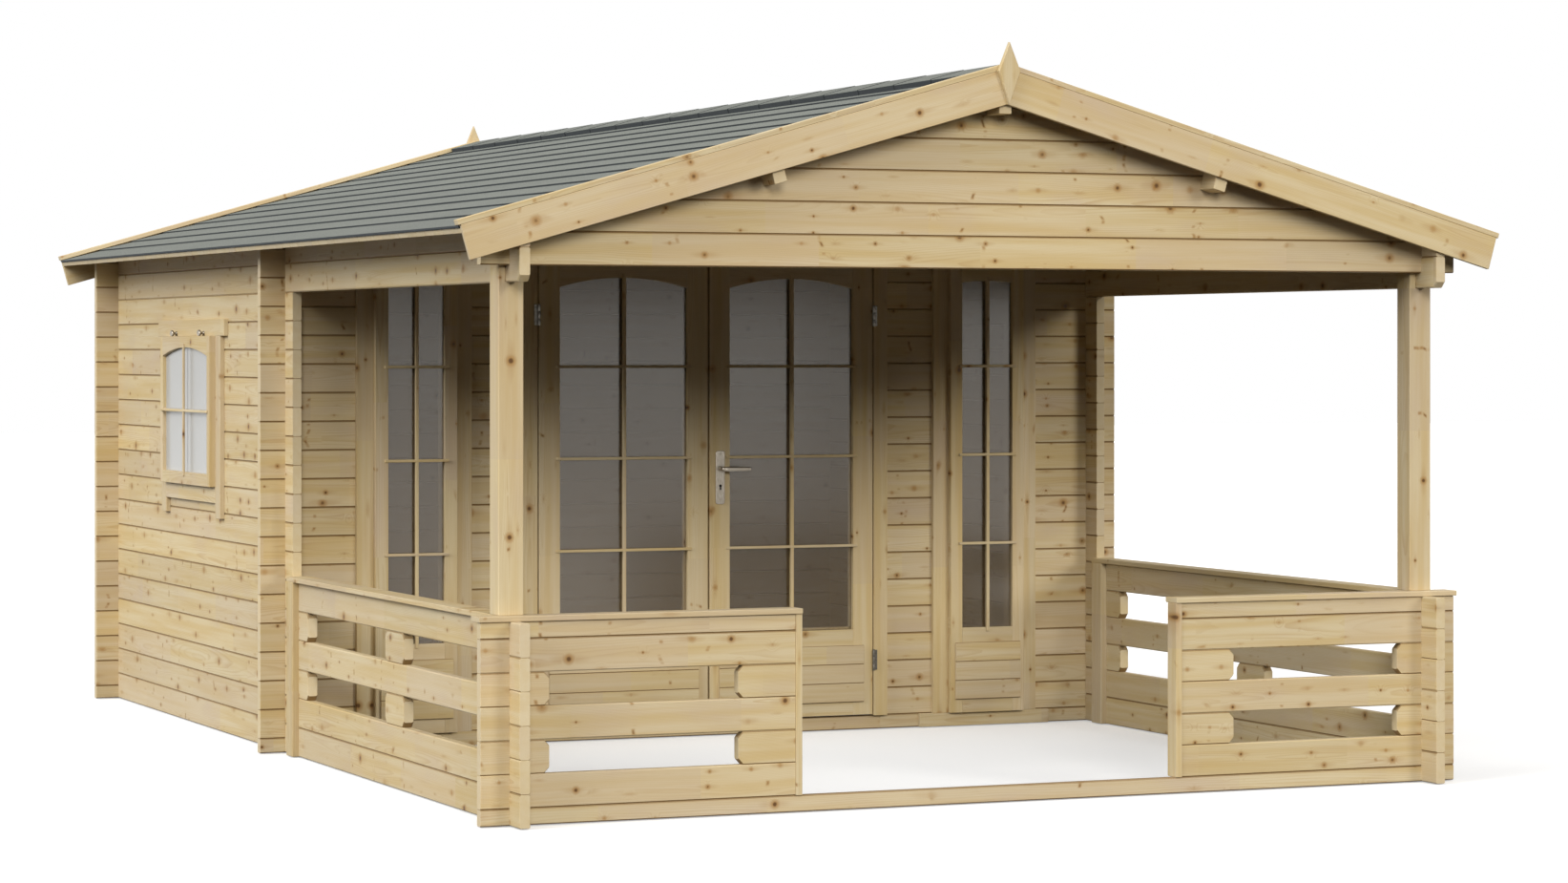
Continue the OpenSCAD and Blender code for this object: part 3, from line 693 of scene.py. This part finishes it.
def frontBalustrade():
    low, high = cad("front_balustrade_left")
    parts = []
    keepers = sideKeeps(low[2], high[2])
    inner = balustrade["endBoard"][0]
    for k in (1, 2, 3, 4, 5, 6):
        rowLow, rowHigh = (k - 0.5) * h, min((k + 0.5) * h, high[2])
        a, b = balustrade["frontGap"]
        cut = balustrade["blockCut"]
        spans = [(low[0], a, 0, cut), (b, inner, cut, 0)] if k in (2, 4) else [(low[0], inner, 0, 0)]
        for start, end, cutA, cutB in spans:
            parts += logRow(alongX, start, end, rowLow, rowHigh, frontY, frontY + logT, keepers,
                            corners=(cutA, cutB), joints=balustrade["frontJoints"][k - 1], **logLook)
    near, far = balustrade["endDeep"]
    parts.append(timber(upright, [0.5 * h, high[2]], *balustrade["endBoard"], frontY + near, frontY + far,
                        ease=1.5))
    return parts


makePair("balustrade", sideBalustrade, [spruceLog], ["{}_balustrade"])
makePair("frontBalustrade", frontBalustrade, [spruceLog], ["front_balustrade_{}"])

rail = {"width": 88.0, "side": (-1827.0, -1739.0)}


def railBoards():                                # the cap rails of a front and a side balustrade
    low, high = cad("left_rail")
    corner, (near, far) = low[1] + rail["width"], rail["side"]
    front = timber(alongX, [low[0], high[0]], low[2], high[2], low[1], corner)
    side = timber(alongY, [corner, high[1]], low[2], high[2], near, far, endEase=(0.6, 1.5))
    return [front, side]


def coverPost():
    low, high = cad("cover_post_left")
    return [timber(upright, [low[2], high[2]], low[0], high[0], low[1], high[1], ease=2.5)]


def verandaPost():                               # stands on the rail and forks round the top log
    low, high = cad("veranda_post_left")
    fork = topRow * h
    tone, pith = woodTone(), pithOffset()
    middle = (low[0] + high[0]) / 2
    same = {"ease": 3.0, "tone": tone}
    body = timber(upright, [low[2], fork], low[0], high[0], low[1], high[1], endEase=(1.5, 0), pith=pith,
                  **same)
    cheeks = [timber(upright, [fork, high[2]], a, b, low[1], high[1], endEase=(0, 1.5), **same,
                     pith=pith + ((fork - low[2]), (a + b) / 2 - middle, 0))
              for a, b in ((low[0], -halfW), (-halfW + logT, high[0]))]
    return [body] + cheeks


makePair("rail", railBoards, [spruceBoard], ["{}_rail"])
makePair("coverPost", coverPost, [spruceBoard], ["cover_post_{}"])
makePair("verandaPost", verandaPost, [spruceBoard], ["veranda_post_{}"])
print("veranda built")

roof = {"boards": 60, "firstButt": 1879.0, "exposure": 156.0, "courses": 12, "lap": 45.0, "buttT": 5.8,
        "capPieces": 18, "capRun": 100.0, "ridgeT": 18.0, "bargeRun": 2058.0, "bargeT": 18.0, "capT": 19.0,
        "capW": 40.0, "purlinX": 891.0, "purlinW": 48.0, "purlinDeep": 135.0, "ridgeLow": 2423.0,
        "kite": ((2, 0), (116, 42), (218, 0), (116, -42))}
deckLow, deckHigh = cad("roof_deck_left")
roofY = deckLow[1], deckHigh[1]
# rows: down the left slope, along the roof, square out of the slope
downLeft = np.array([[-math.cos(pitch), 0, -math.sin(pitch)], [0, 1, 0],
                     [-math.sin(pitch), 0, math.cos(pitch)]])
slopeOrigin = (0, 0, slope["apex"])
plumb = -tanP                                    # a ridge end cut plumb leans by this


def deckBoards():
    edges = np.linspace(*roofY, roof["boards"] + 1)
    under = slope["deckN"]
    return [timber(downLeft, [0, roof["bargeRun"]], a + 0.3, b - 0.3, under, under + slope["deckT"],
                   ease=2.2, endEase=(0, 0.8), leanDeep=[plumb, 0], origin=slopeOrigin)
            for a, b in zip(edges[:-1], edges[1:])]


# Each course is a thin wedge along the roof: its height over the deck grows evenly from its
# upper edge to its butt, with a slow wave along the roof so that it lies like felt.
def shingleCourses():
    base = slope["deckN"] + slope["deckT"] + 0.3
    run = roof["bargeRun"] + 6
    along = np.linspace(*roofY, 73)
    parts = []
    butts = [run] + [roof["firstButt"] - roof["exposure"] * k for k in range(roof["courses"])]
    for k, butt in enumerate(butts):
        reach = (run - roof["firstButt"] if k == 0 else roof["exposure"]) + roof["lap"]
        upper = max(butt - reach, 6)
        wave = 0.14 * np.sin(along / 410 + k * 1.7) + 0.10 * np.sin(along / 173 + k * 2.9)
        edge = 0.5 * np.sin(along / 520 + k * 2.1) * (k > 0)
        top = base + 8.9
        topEnd = top - roof["buttT"] * reach / (reach - roof["lap"])

        def section(s, n):                       # one line of the wedge, all along the roof
            return np.stack(np.broadcast_arrays(s, along, n), -1)
        rings = np.stack([section(upper, topEnd - 1.5),
                          section(butt + edge - 0.4, top - roof["buttT"] - 0.3 + wave),
                          section(butt + edge, top - 0.4 + wave), section(butt + edge - 0.6, top + wave),
                          section(upper, topEnd)], 1)
        part = closedSolid(rings @ downLeft + slopeOrigin, rings, woodTone(), False, 0.0)
        faces = len(along) - 1
        part["material"] = np.concatenate([np.tile([0, 1, 1, 0, 0], faces), [1, 1]])
        parts.append(part)
    outline = np.array([(-base * tanP, base), (run - 1.5, base), (run - 1.5, base + 2),
                        (-(base + 2) * tanP, base + 2)])
    sheet = np.stack([np.insert(outline, 1, y, axis=1) for y in roofY])
    underlay = closedSolid(sheet @ downLeft + slopeOrigin, np.zeros((2, 4, 3)), np.zeros(2), False, 0.0, 1)
    return [underlay] + parts


# The ridge is covered by thick bent pieces that lap each other towards the front.
def ridgeCapping():
    base = slope["deckN"] + slope["deckT"] + slope["shingleT"]
    inset = roof["capW"] - roof["bargeT"] + 0.5
    first, last = roofY[0] + inset, roofY[1] - inset
    edges = np.linspace(first, last, roof["capPieces"] + 1)
    parts = []
    for a, b in zip(edges[:-1], edges[1:]):
        rings = []
        for y, drop in ((a, 0.4), (min(b + 30, last), 2.2)):
            low, high = base - 6.0, base + roof["ridgeT"] - drop
            run = roof["capRun"] - 2 * drop
            outline = [(-low * tanP, low), (run, low), (run, high - 2.5), (run - 3, high - 0.6),
                       (-high * tanP, high)]
            rings.append(np.insert(np.array(outline), 1, y, axis=1) @ downLeft + slopeOrigin)
        rings = np.stack(rings)
        part = closedSolid(rings, rings, woodTone(), False, 0.0)
        part["material"] = np.array([1, 1, 0, 0, 1, 1, 1])
        parts.append(part)
    return parts


makePair("roofBoards", deckBoards, [spruceDeck], ["roof_deck_{}"])
makePair("shingles", shingleCourses, [shingleGrey, bitumenEdge], ["shingles_{}"])
makePair("ridgeCap", ridgeCapping, [shingleCap, bitumenEdge], ())

ridge = timber(alongY, roofY, roof["ridgeLow"], deckApex - tanP * roof["purlinW"] / 2 - 0.3,
               -roof["purlinW"] / 2, roof["purlinW"] / 2)
makePiece("ridgeBeam", [ridge], [spruceBoard], "cabin", ["ridge_purlin"])


def midPurlin():
    top = slope["deckN"] - 0.3
    middle = (roof["purlinX"] - slope["deckN"] * math.sin(pitch)) / math.cos(pitch)
    lay = np.array([downLeft[1], downLeft[2], downLeft[0]])
    half = roof["purlinW"] / 2
    return [timber(lay, roofY, top - roof["purlinDeep"], top, middle - half, middle + half,
                   origin=slopeOrigin)]


makePair("purlinBeam", midPurlin, [spruceBoard], ["purlin_{}"])


# barge boards, the caps on them and the pointed board over their joint; out is -1 at the front
def bargeSet(inner, out):
    lay = np.array([downLeft[0], downLeft[2], downLeft[1]])
    capN = slope["deckN"] + slope["deckT"] + slope["shingleT"]
    outer = inner + out * roof["bargeT"]
    mitred = {"ease": 1.5, "endEase": (0, 1.5), "leanUp": [plumb, 0], "origin": slopeOrigin}
    board = timber(lay, [0, roof["bargeRun"]], 0, capN, *sorted((inner, outer)), **mitred)
    back = outer - out * roof["capW"]
    cap = timber(lay, [0, roof["bargeRun"] + 8], capN, capN + roof["capT"], *sorted((outer, back)),
                 joints=(0.8, 0), **mitred)
    kite = np.array(roof["kite"]) + (slope["apex"], 0)
    point = shapedBoard(kite, *sorted((outer, outer + out * roof["bargeT"])), upright, ease=2.0)
    return [board, cap] + mirrored([board, cap]) + [point]


makePiece("bargeFront", bargeSet(roofY[0], -1), [spruceBoard], "cabin", ["front_barge"])
makePiece("bargeRear", bargeSet(roofY[1], 1), [spruceBoard], "cabin", ["rear_barge"])
print("roof built")

door = {"half": 749.0, "gap": 5.0, "meet": 4.0, "stile": 90.0, "low": 63.0, "high": 1946.0, "thick": 38.0,
        "lightLow": 422.0, "spring": 1851.0, "rise": 40.0, "barHeights": (775.0, 1151.0, 1527.0),
        "panel": (119.0, 356.0), "panelHalf": 327.0, "panelThick": 12.0, "hidden": (150.0, 326.0),
        "paneDeep": 17.8, "bead": 12.0, "casing": 64.0,
        "bars": {"wide": 14.0, "thin": 11.5, "thick": 7.0, "web": 6.0}}
doorY = roomY - 25.0


def archHeight(x, half, spring, rise):           # height of a shallow arc over its springing line
    radius = (half * half + rise * rise) / (2 * rise)
    return spring + rise - radius + np.sqrt(radius * radius - x * x)


# Glazing bars lap over the sash's face, and a narrow web behind each reaches the pane. The
# cross bars stand a hair prouder, so that they run through.
def glazingBars(middle, half, low, spring, rise, heights, face, pane, bars, axes=(upright, alongX)):
    lap = 17.0
    wide, thin, web = bars["wide"] / 2, bars["thin"] / 2, bars["web"] / 2
    front, back = face - bars["thick"], face + 0.5
    ends, crossEnds = (low, spring + rise), (middle - half, middle + half)
    bare = {"ease": 0.8, "endEase": (0, 0)}
    parts = [timber(axes[0], [ends[0] - lap, ends[1] + lap], middle - wide, middle + wide, front, back,
                    ease=1.6)]
    for z in heights:
        parts.append(timber(axes[1], [crossEnds[0] - lap, crossEnds[1] + lap], z - thin, z + thin,
                            front - 0.8, back, ease=1.6))
        parts.append(timber(axes[1], crossEnds, z - web, z + web, face, pane, **bare))
    parts.append(timber(axes[0], ends, middle - web, middle + web, face, pane, **bare))
    return parts


def plantedBoards(start, end, low, high, face, thick):    # three boards one above the other
    edges = np.linspace(low, high, 4)
    return [timber(alongX, [start, end], a + 0.2, b - 0.2, face - thick, face + 0.4, ease=1.8,
                   joints=(1.0, 0.8))
            for a, b in zip(edges[:-1], edges[1:])]


def doorLeaf():                                  # the left leaf
    outer, inner = -door["half"] + door["gap"], -door["meet"]
    near, far = doorY, doorY + door["thick"]
    middle = (outer + inner) / 2
    half = (inner - outer) / 2 - door["stile"]
    x = np.linspace(-half, half, 41)
    arch = archHeight(x, half, door["spring"], door["rise"])
    left, right, lightLow, width = middle - half, middle + half, door["lightLow"], door["panelHalf"]
    bottom, top = door["hidden"]                 # the thinner field behind the planted boards
    stile, crossRail = {"ease": 1.2}, {"ease": 1.2, "endEase": (0, 0)}
    parts = [timber(upright, [door["low"], door["high"]], outer, outer + door["stile"], near, far, **stile),
             timber(upright, [door["low"], door["high"]], inner - door["stile"], inner, near, far, **stile),
             timber(alongX, middle + x, arch, door["high"], near, far, **crossRail),
             timber(alongX, [left, right], door["low"], bottom, near, far, **crossRail),
             timber(alongX, [left, right], top, lightLow, near, far, **crossRail),
             timber(alongX, [left, right], bottom, top, near + 10, far - 10, **crossRail)]
    parts += plantedBoards(middle - width, middle + width, *door["panel"], near, door["panelThick"])
    parts += glazingBars(middle, half, lightLow, door["spring"], door["rise"], door["barHeights"], near,
                         near + door["paneDeep"], door["bars"])
    bead = {"ease": 2.5, "endEase": (0, 0)}      # beads that hold the pane from inside
    pane, wide = far - 16, door["bead"]
    parts += [timber(upright, [lightLow, door["spring"]], a, a + wide, pane, far - 3, **bead)
              for a in (left, right - wide)]
    parts.append(timber(alongX, [left, right], lightLow, lightLow + wide, pane, far - 3, **bead))
    return parts


def doorFrame():                                 # casings on the logs, jambs in the wall and a head
    low, high = cad("door_frame")
    parts = []
    for sign in (-1, 1):
        face = sorted([sign * door["half"], sign * (door["half"] + door["casing"])])
        jamb = sorted([sign * door["half"], sign * doorHollow])
        parts.append(timber(upright, [low[2], high[2]], *face, doorY, roomY, ease=1.8))
        parts.append(timber(upright, [low[2], high[2]], *jamb, roomY, roomY + logT, ease=1.2))
    parts.append(timber(alongX, [-door["half"], door["half"]], door["high"] + door["gap"], high[2], doorY,
                        roomY + logT, ease=1.5, endEase=(0, 0)))
    return parts


makePiece("doorFrameTimber", doorFrame(), [spruceJoinery], "cabin", ["door_frame"])
makePair("doorLeaf", doorLeaf, [spruceJoinery], ["door_leaf_{}"], ("left_leaf", "right_leaf"))

handle = {"x": 50.0, "z": 1103.0, "plate": (957.0, 1178.0), "plateHalf": 20.0, "plateT": 6.0, "reach": 119.0,
          "off": 48.0, "bend": 16.0, "keyholeZ": 1033.0}


# quarter circles of one radius round the four corners
def roundedRectangle(half, low, high, radius, steps=8):
    turn = np.linspace(0, math.pi / 2, steps)
    corners = [(half - radius, high - radius, 0), (-half + radius, high - radius, math.pi / 2),
               (-half + radius, low + radius, math.pi), (half - radius, low + radius, 1.5 * math.pi)]
    return np.concatenate([np.stack([x + radius * np.cos(turn + a), z + radius * np.sin(turn + a)], -1)
                           for x, z, a in corners])


flatFace = np.array([[1, 0, 0], [0, 0, 1], [0, 1, 0]], float)


# painted shade: the keyhole is a thin black sheet on the plate, not a hole
def keyhole(face, proud):                        # a round hole over a tapering slot
    turn = np.linspace(math.radians(-55), math.radians(235), 19)
    hole = np.stack([6.0 * np.cos(turn), 6.0 * np.sin(turn)], -1)
    outline = np.concatenate([hole, [[-3.4, -17], [3.4, -17]]])
    return shapedBoard(outline + (handle["x"], handle["keyholeZ"]), *sorted((face, face + proud)), flatFace,
                       ease=0.1, material=1)


doorFaces = ((doorY, -1), (doorY + door["thick"], 1))    # each with its way out


def doorPlates():                                # with keyholes, screw heads and the levers' collars
    parts = []
    for face, way in doorFaces:
        outer = face + way * handle["plateT"]
        outline = roundedRectangle(handle["plateHalf"], *handle["plate"], 9.0)
        parts.append(shapedBoard(outline + (handle["x"], 0), *sorted((face, outer)), flatFace, ease=1.4))
        parts.append(keyhole(outer, way * 0.4))
        toFace = np.array([[1, 0, 0], [0, 0, 1], [0, way, 0]], float)
        for z in (handle["plate"][0] + 14, handle["plate"][1] - 14):
            parts.append(turned([4.2, 4.2, 3.4, 1.6], [0, 0.9, 1.7, 2.1], (handle["x"], outer, z), toFace,
                                18))
        parts.append(turned([11.5, 11.5, 10.6], [0, 3.0, 4.0], (handle["x"], outer, handle["z"]), toFace, 28))
    return parts


# the lever's path runs out of the door, bends through a quarter circle and runs along it
def doorLever():
    parts = []
    bend, reachOut = handle["bend"], handle["off"]
    turn = np.linspace(0, math.pi / 2, 9)
    for face, way in doorFaces:
        out = np.stack([np.zeros(5), np.linspace(0, reachOut - bend, 5), np.zeros(5)], -1)[:-1]
        curve = np.stack([bend - bend * np.cos(turn), reachOut - bend + bend * np.sin(turn), np.zeros(9)], -1)
        t = np.concatenate([np.linspace(0, 0.975, 12)[1:], (0.986, 0.995, 1.0)])
        arm = np.stack([bend + t * (handle["reach"] - bend), reachOut - 3.0 * t * t, np.zeros(14)], -1)
        path = np.concatenate([out, curve, arm]) * (1, way, 1) + (handle["x"], face, handle["z"])
        grow = np.concatenate([np.full(4, 8.5), np.linspace(8.5, 10.0, 9), 10.0 - 2.2 * t])
        thin = np.concatenate([np.full(4, 8.5), np.linspace(8.5, 5.0, 9), np.full(14, 4.8)])
        close = np.ones(27)
        close[-3:] = (0.97, 0.88, 0.62)
        parts.append(sweptBar(path, (0, 0, 1), grow * close, thin * close))
    return parts


makePiece("lockPlates", doorPlates(), [satinNickel, keyholeShade], "right_leaf", ["door_plates"])
makePiece("leverHandle", doorLever(), [satinNickel], "lever", ["door_lever"])


hinge = {"bottoms": (248.0, 1694.0), "tall": 88.0, "radius": 6.0, "pinOff": 8.0, "flap": 17.0,
         "screws": (16, 44, 72)}


def hingeSet():                                  # barrels with three knuckles and a screwed flap
    pinX, pinY = -door["half"] + door["gap"] / 2, doorY - hinge["pinOff"]
    toFront = np.array([[1, 0, 0], [0, 0, 1], [0, -1, 0]], float)
    full, slim, tip = hinge["radius"], hinge["radius"] - 1.0, hinge["radius"] - 1.5
    parts = []
    for z in hinge["bottoms"]:
        end = z + hinge["tall"]
        levels, radii = [z, z + 1.5], [tip, full]
        for joint in (z + 29.3, z + 58.6):       # a fine groove between two knuckles
            levels += [joint - 1.0, joint - 0.3, joint + 0.3, joint + 1.0]
            radii += [full, slim, slim, full]
        parts.append(turned(radii + [full, tip], levels + [end - 1.5, end], (pinX, pinY, 0), segments=28))
        outline = np.array([[-hinge["flap"], z + 2], [0, z + 2], [0, end - 2], [-hinge["flap"], end - 2]])
        parts.append(shapedBoard(outline + (pinX - 1, 0), pinY + 5, pinY + 8, flatFace, ease=0.6))
        parts += [turned([3.6, 3.4, 2.4], [0, 0.7, 1.2], (pinX - 12.5, pinY + 5, z + up), toFront, 16)
                  for up in hinge["screws"]]
    return parts


hingesLeft = hingeSet()
makePiece("doorHinges", hingesLeft + mirrored(hingesLeft), [galvanised], "cabin", ["door_hinges"])
print("doors built")

casing = {"thick": 20.0, "sashOut": 46.0, "board": 70.0}
tall = {"lightHalf": 118.0, "lightLow": 417.0, "spring": 1881.0, "rise": 8.0, "panel": (115.0, 355.0),
        "panelHalf": 152.0, "side": (172.0, 242.0), "headHalf": 300.0, "footHalf": 304.0, "paneDeep": 15.8}


# A sash with an arched head in the plane of run and height. look gives its light: half its
# width, its foot, its springing line and its rise.
def sashTimbers(middle, half, low, high, look, near, far, layUp, layAlong):
    light = look["lightHalf"]
    x = np.linspace(-light, light, 33)
    arch = archHeight(x, light, look["spring"], look["rise"])
    crossRail = {"ease": 1.2, "endEase": (0, 0)}
    return [timber(layUp, [low, high], middle - half, middle - light, near, far, ease=1.2),
            timber(layUp, [low, high], middle + light, middle + half, near, far, ease=1.2),
            timber(layAlong, middle + x, arch, high, near, far, **crossRail),
            timber(layAlong, [middle - light, middle + light], low, look["lightLow"], near, far, **crossRail)]


def tallWindowSet():                             # casings, head, foot, sash, boards and bars
    m = -tallWindow["middle"]
    face, front = roomY - casing["thick"], roomY - casing["sashOut"]
    low, high = 0.5 * h, tallWindow["high"]
    inner, outer = tall["side"]
    head, foot, width = tall["headHalf"], tall["footHalf"], tall["panelHalf"]
    parts = [timber(upright, [low, high], a, b, face, roomY, ease=1.5)
             for a, b in ((m - outer, m - inner), (m + inner, m + outer))]
    parts.append(timber(alongX, [m - head, m + head], high, high + casing["board"], face, roomY, ease=1.5))
    parts.append(timber(alongX, [m - foot, m + foot], 0, low, face, roomY, ease=1.5))
    parts += sashTimbers(m, tallWindow["sash"], low, high, tall, front, roomY + logT, upright, alongX)
    parts += plantedBoards(m - width, m + width, *tall["panel"], front, door["panelThick"])
    parts += glazingBars(m, tall["lightHalf"], tall["lightLow"], tall["spring"], tall["rise"],
                         door["barHeights"], front, front + tall["paneDeep"], door["bars"])
    return parts


makePair("tallWindow", tallWindowSet, [spruceJoinery], ["tall_window_{}"])

side = {"lightHalf": 366.0, "lightLow": 1073.0, "spring": 1569.0, "rise": 37.0, "bar": 1336.0,
        "paneDeep": 3.0, "casing": 76.0, "casingLow": 890.0, "headHalf": 540.0, "apronLow": 953.0,
        "knobY": 225.0, "knobZ": 1667.0, "bars": {"wide": 14.0, "thin": 11.0, "thick": 7.0, "web": 6.0}}
uprightSide = np.array([[0, 0, 1], [0, 1, 0], [1, 0, 0]], float)


def sideWindowSet():
    m, half = sideWindow["middle"], sideWindow["sash"]
    low, high = sideWindow["low"], sideWindow["high"]
    near, far, front = -halfW - casing["thick"], -halfW, -halfW - casing["sashOut"]
    wide, head = side["casing"], side["headHalf"]
    parts = [timber(uprightSide, [side["casingLow"], high], a, a + wide, near, far, ease=1.5)
             for a in (m - half - wide, m + half)]
    parts.append(timber(alongY, [m - head, m + head], high, high + casing["board"], near, far, ease=1.5))
    parts.append(timber(alongY, [m - half, m + half], side["apronLow"], low, near, far, ease=1.5))
    parts += sashTimbers(m, half, low, high, side, front, -halfW + logT, uprightSide, alongY)
    parts += glazingBars(m, side["lightHalf"], side["lightLow"], side["spring"], side["rise"], (side["bar"],),
                         front, front + side["paneDeep"], side["bars"], (uprightSide, alongY))
    return parts


makePiece("sideWindowSash", sideWindowSet(), [spruceJoinery], "cabin", ["side_window"])


# turn buttons over the sash: a foot, a thin neck and an oval head
knob = {"radius": (12.0, 12.0, 8.0, 7.0, 7.4, 17.5, 19.5, 19.0, 15.0, 7.0, 2.4),
        "height": (0, 2.2, 3.4, 8.0, 12.0, 16.5, 20.0, 23.0, 26.0, 27.6, 28.0), "oval": 0.72}


def windowKnobs():
    toLeft = np.array([[0, 1, 0], [0, 0, 1], [-1, 0, 0]], float)
    centres = [(-halfW - casing["thick"], sideWindow["middle"] + away, side["knobZ"])
               for away in (-side["knobY"], side["knobY"])]
    return [turned(knob["radius"], knob["height"], centre, toLeft, 36, knob["oval"]) for centre in centres]


makePiece("windowKnobs", windowKnobs(), [satinNickel], "cabin", ())
for node in ("door_glass_left", "door_glass_right", "tall_glass_left", "tall_glass_right",
             "side_window_glass"):
    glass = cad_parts[node]
    glass.data.materials.clear()
    glass.data.materials.append(sideGlass if node == "side_window_glass" else houseGlass)
    glass.visible_shadow = False                 # clear glass lets the daylight into the room
print("windows built")

# each soft lamp: strength, apparent width, height over the horizon, turn to the left, colour
studio = {"suns": {"softFront": (1.38, 18.0, 17.0, 16.0, (1, 0.975, 0.92)),
                   "softRight": (1.10, 18.0, 17.0, -26.0, (1, 0.975, 0.92)),
                   "softSide": (2.55, 36.0, 26.0, 80.0, (0.97, 0.985, 0.99))},
          "skyTop": 1.0, "skyEdge": 0.0, "floorHalf": 60000.0, "floorTop": -4.0, "floorGlow": 0.36,
          "floorPaint": 0.70, "floorBounce": 0.01}


# An emptied node tree, and 1 for the rays that see or mirror the surroundings, 0 for those
# that light the cabin.
def studioTree(owner):
    owner.use_nodes = True
    tree = owner.node_tree
    tree.nodes.clear()
    rays = Wire.add(tree, "ShaderNodeLightPath", out="Is Camera Ray")
    seen = rays.sum("MAXIMUM", rays.out("Is Glossy Ray")).sum("MAXIMUM", rays.out("Is Transmission Ray"))
    return tree, seen


def makeFloor():                                 # white to the eye, and hardly a light for the cabin
    half, low = studio["floorHalf"], studio["floorTop"]
    slab = timber(alongX, [-half, half], low - 20, low, -half, half, ease=1.0)
    finish = bpy.data.materials.new("studioFloorPaint")
    floor = joinedMesh("studioFloor", [slab], [finish])
    tree, seen = studioTree(finish)
    dull = Wire.add(tree, "ShaderNodeBsdfDiffuse", {}, {"Color": (*[studio["floorBounce"]] * 3, 1)})
    pale = Wire.add(tree, "ShaderNodeBsdfDiffuse", {}, {"Color": (*[studio["floorPaint"]] * 3, 1)})
    glow = Wire.add(tree, "ShaderNodeEmission", {}, {"Color": (1, 1, 1, 1), "Strength": studio["floorGlow"]})
    both = Wire.add(tree, "ShaderNodeAddShader", {}, {0: pale, 1: glow})
    mixed = Wire.add(tree, "ShaderNodeMixShader", {}, {0: seen, 1: dull, 2: both})
    Wire.add(tree, "ShaderNodeOutputMaterial", {}, {"Surface": mixed})


def makeSky():                                   # its light grows from the horizon upwards
    world = bpy.data.worlds.new("studioSky")
    bpy.context.scene.world = world
    tree, seen = studioTree(world)
    direction = Wire.add(tree, "ShaderNodeTexCoord", out="Generated")
    height = Wire.add(tree, "ShaderNodeSeparateXYZ", {}, {0: direction}).out(2)
    lift = Wire.add(tree, "ShaderNodeMapRange", {"interpolation_type": "SMOOTHSTEP"},
                    {"Value": height, "From Min": 0.0, "From Max": 0.75, "To Min": studio["skyEdge"],
                     "To Max": studio["skyTop"]})
    strength = lift * (1 - seen) + seen
    sky = Wire.add(tree, "ShaderNodeBackground", {}, {"Color": (1, 1, 1, 1), "Strength": strength})
    Wire.add(tree, "ShaderNodeOutputWorld", {}, {"Surface": sky})


makeFloor()
makeSky()
for name, (strength, width, lampHeight, toLeft, colour) in studio["suns"].items():
    lamp = bpy.data.lights.new(name, "SUN")
    lamp.energy = strength
    lamp.angle = math.radians(width)
    lamp.color = colour
    sun = bpy.data.objects.new(name, lamp)
    sun.rotation_euler = (math.radians(90 - lampHeight), 0, math.radians(-toLeft))
    sun.visible_glossy = name != "softRight"     # keeps its image out of the panes
    bpy.context.scene.collection.objects.link(sun)

# place in metres, turn in radians, lens in millimetres
view = {"place": (-6.2759, -15.5833, 1.5978), "turn": -0.404, "lens": 92.68, "shiftY": -0.05875}
lens = bpy.data.cameras.new("viewCamera")
lens.sensor_width, lens.lens, lens.shift_y = 36.0, view["lens"], view["shiftY"]
lens.clip_end = 200
camera = bpy.data.objects.new("viewCamera", lens)
camera.location = view["place"]
camera.rotation_euler = (math.radians(90), 0, view["turn"])
bpy.context.scene.collection.objects.link(camera)
bpy.context.scene.camera = camera
bpy.context.scene.view_settings.view_transform = "Standard"
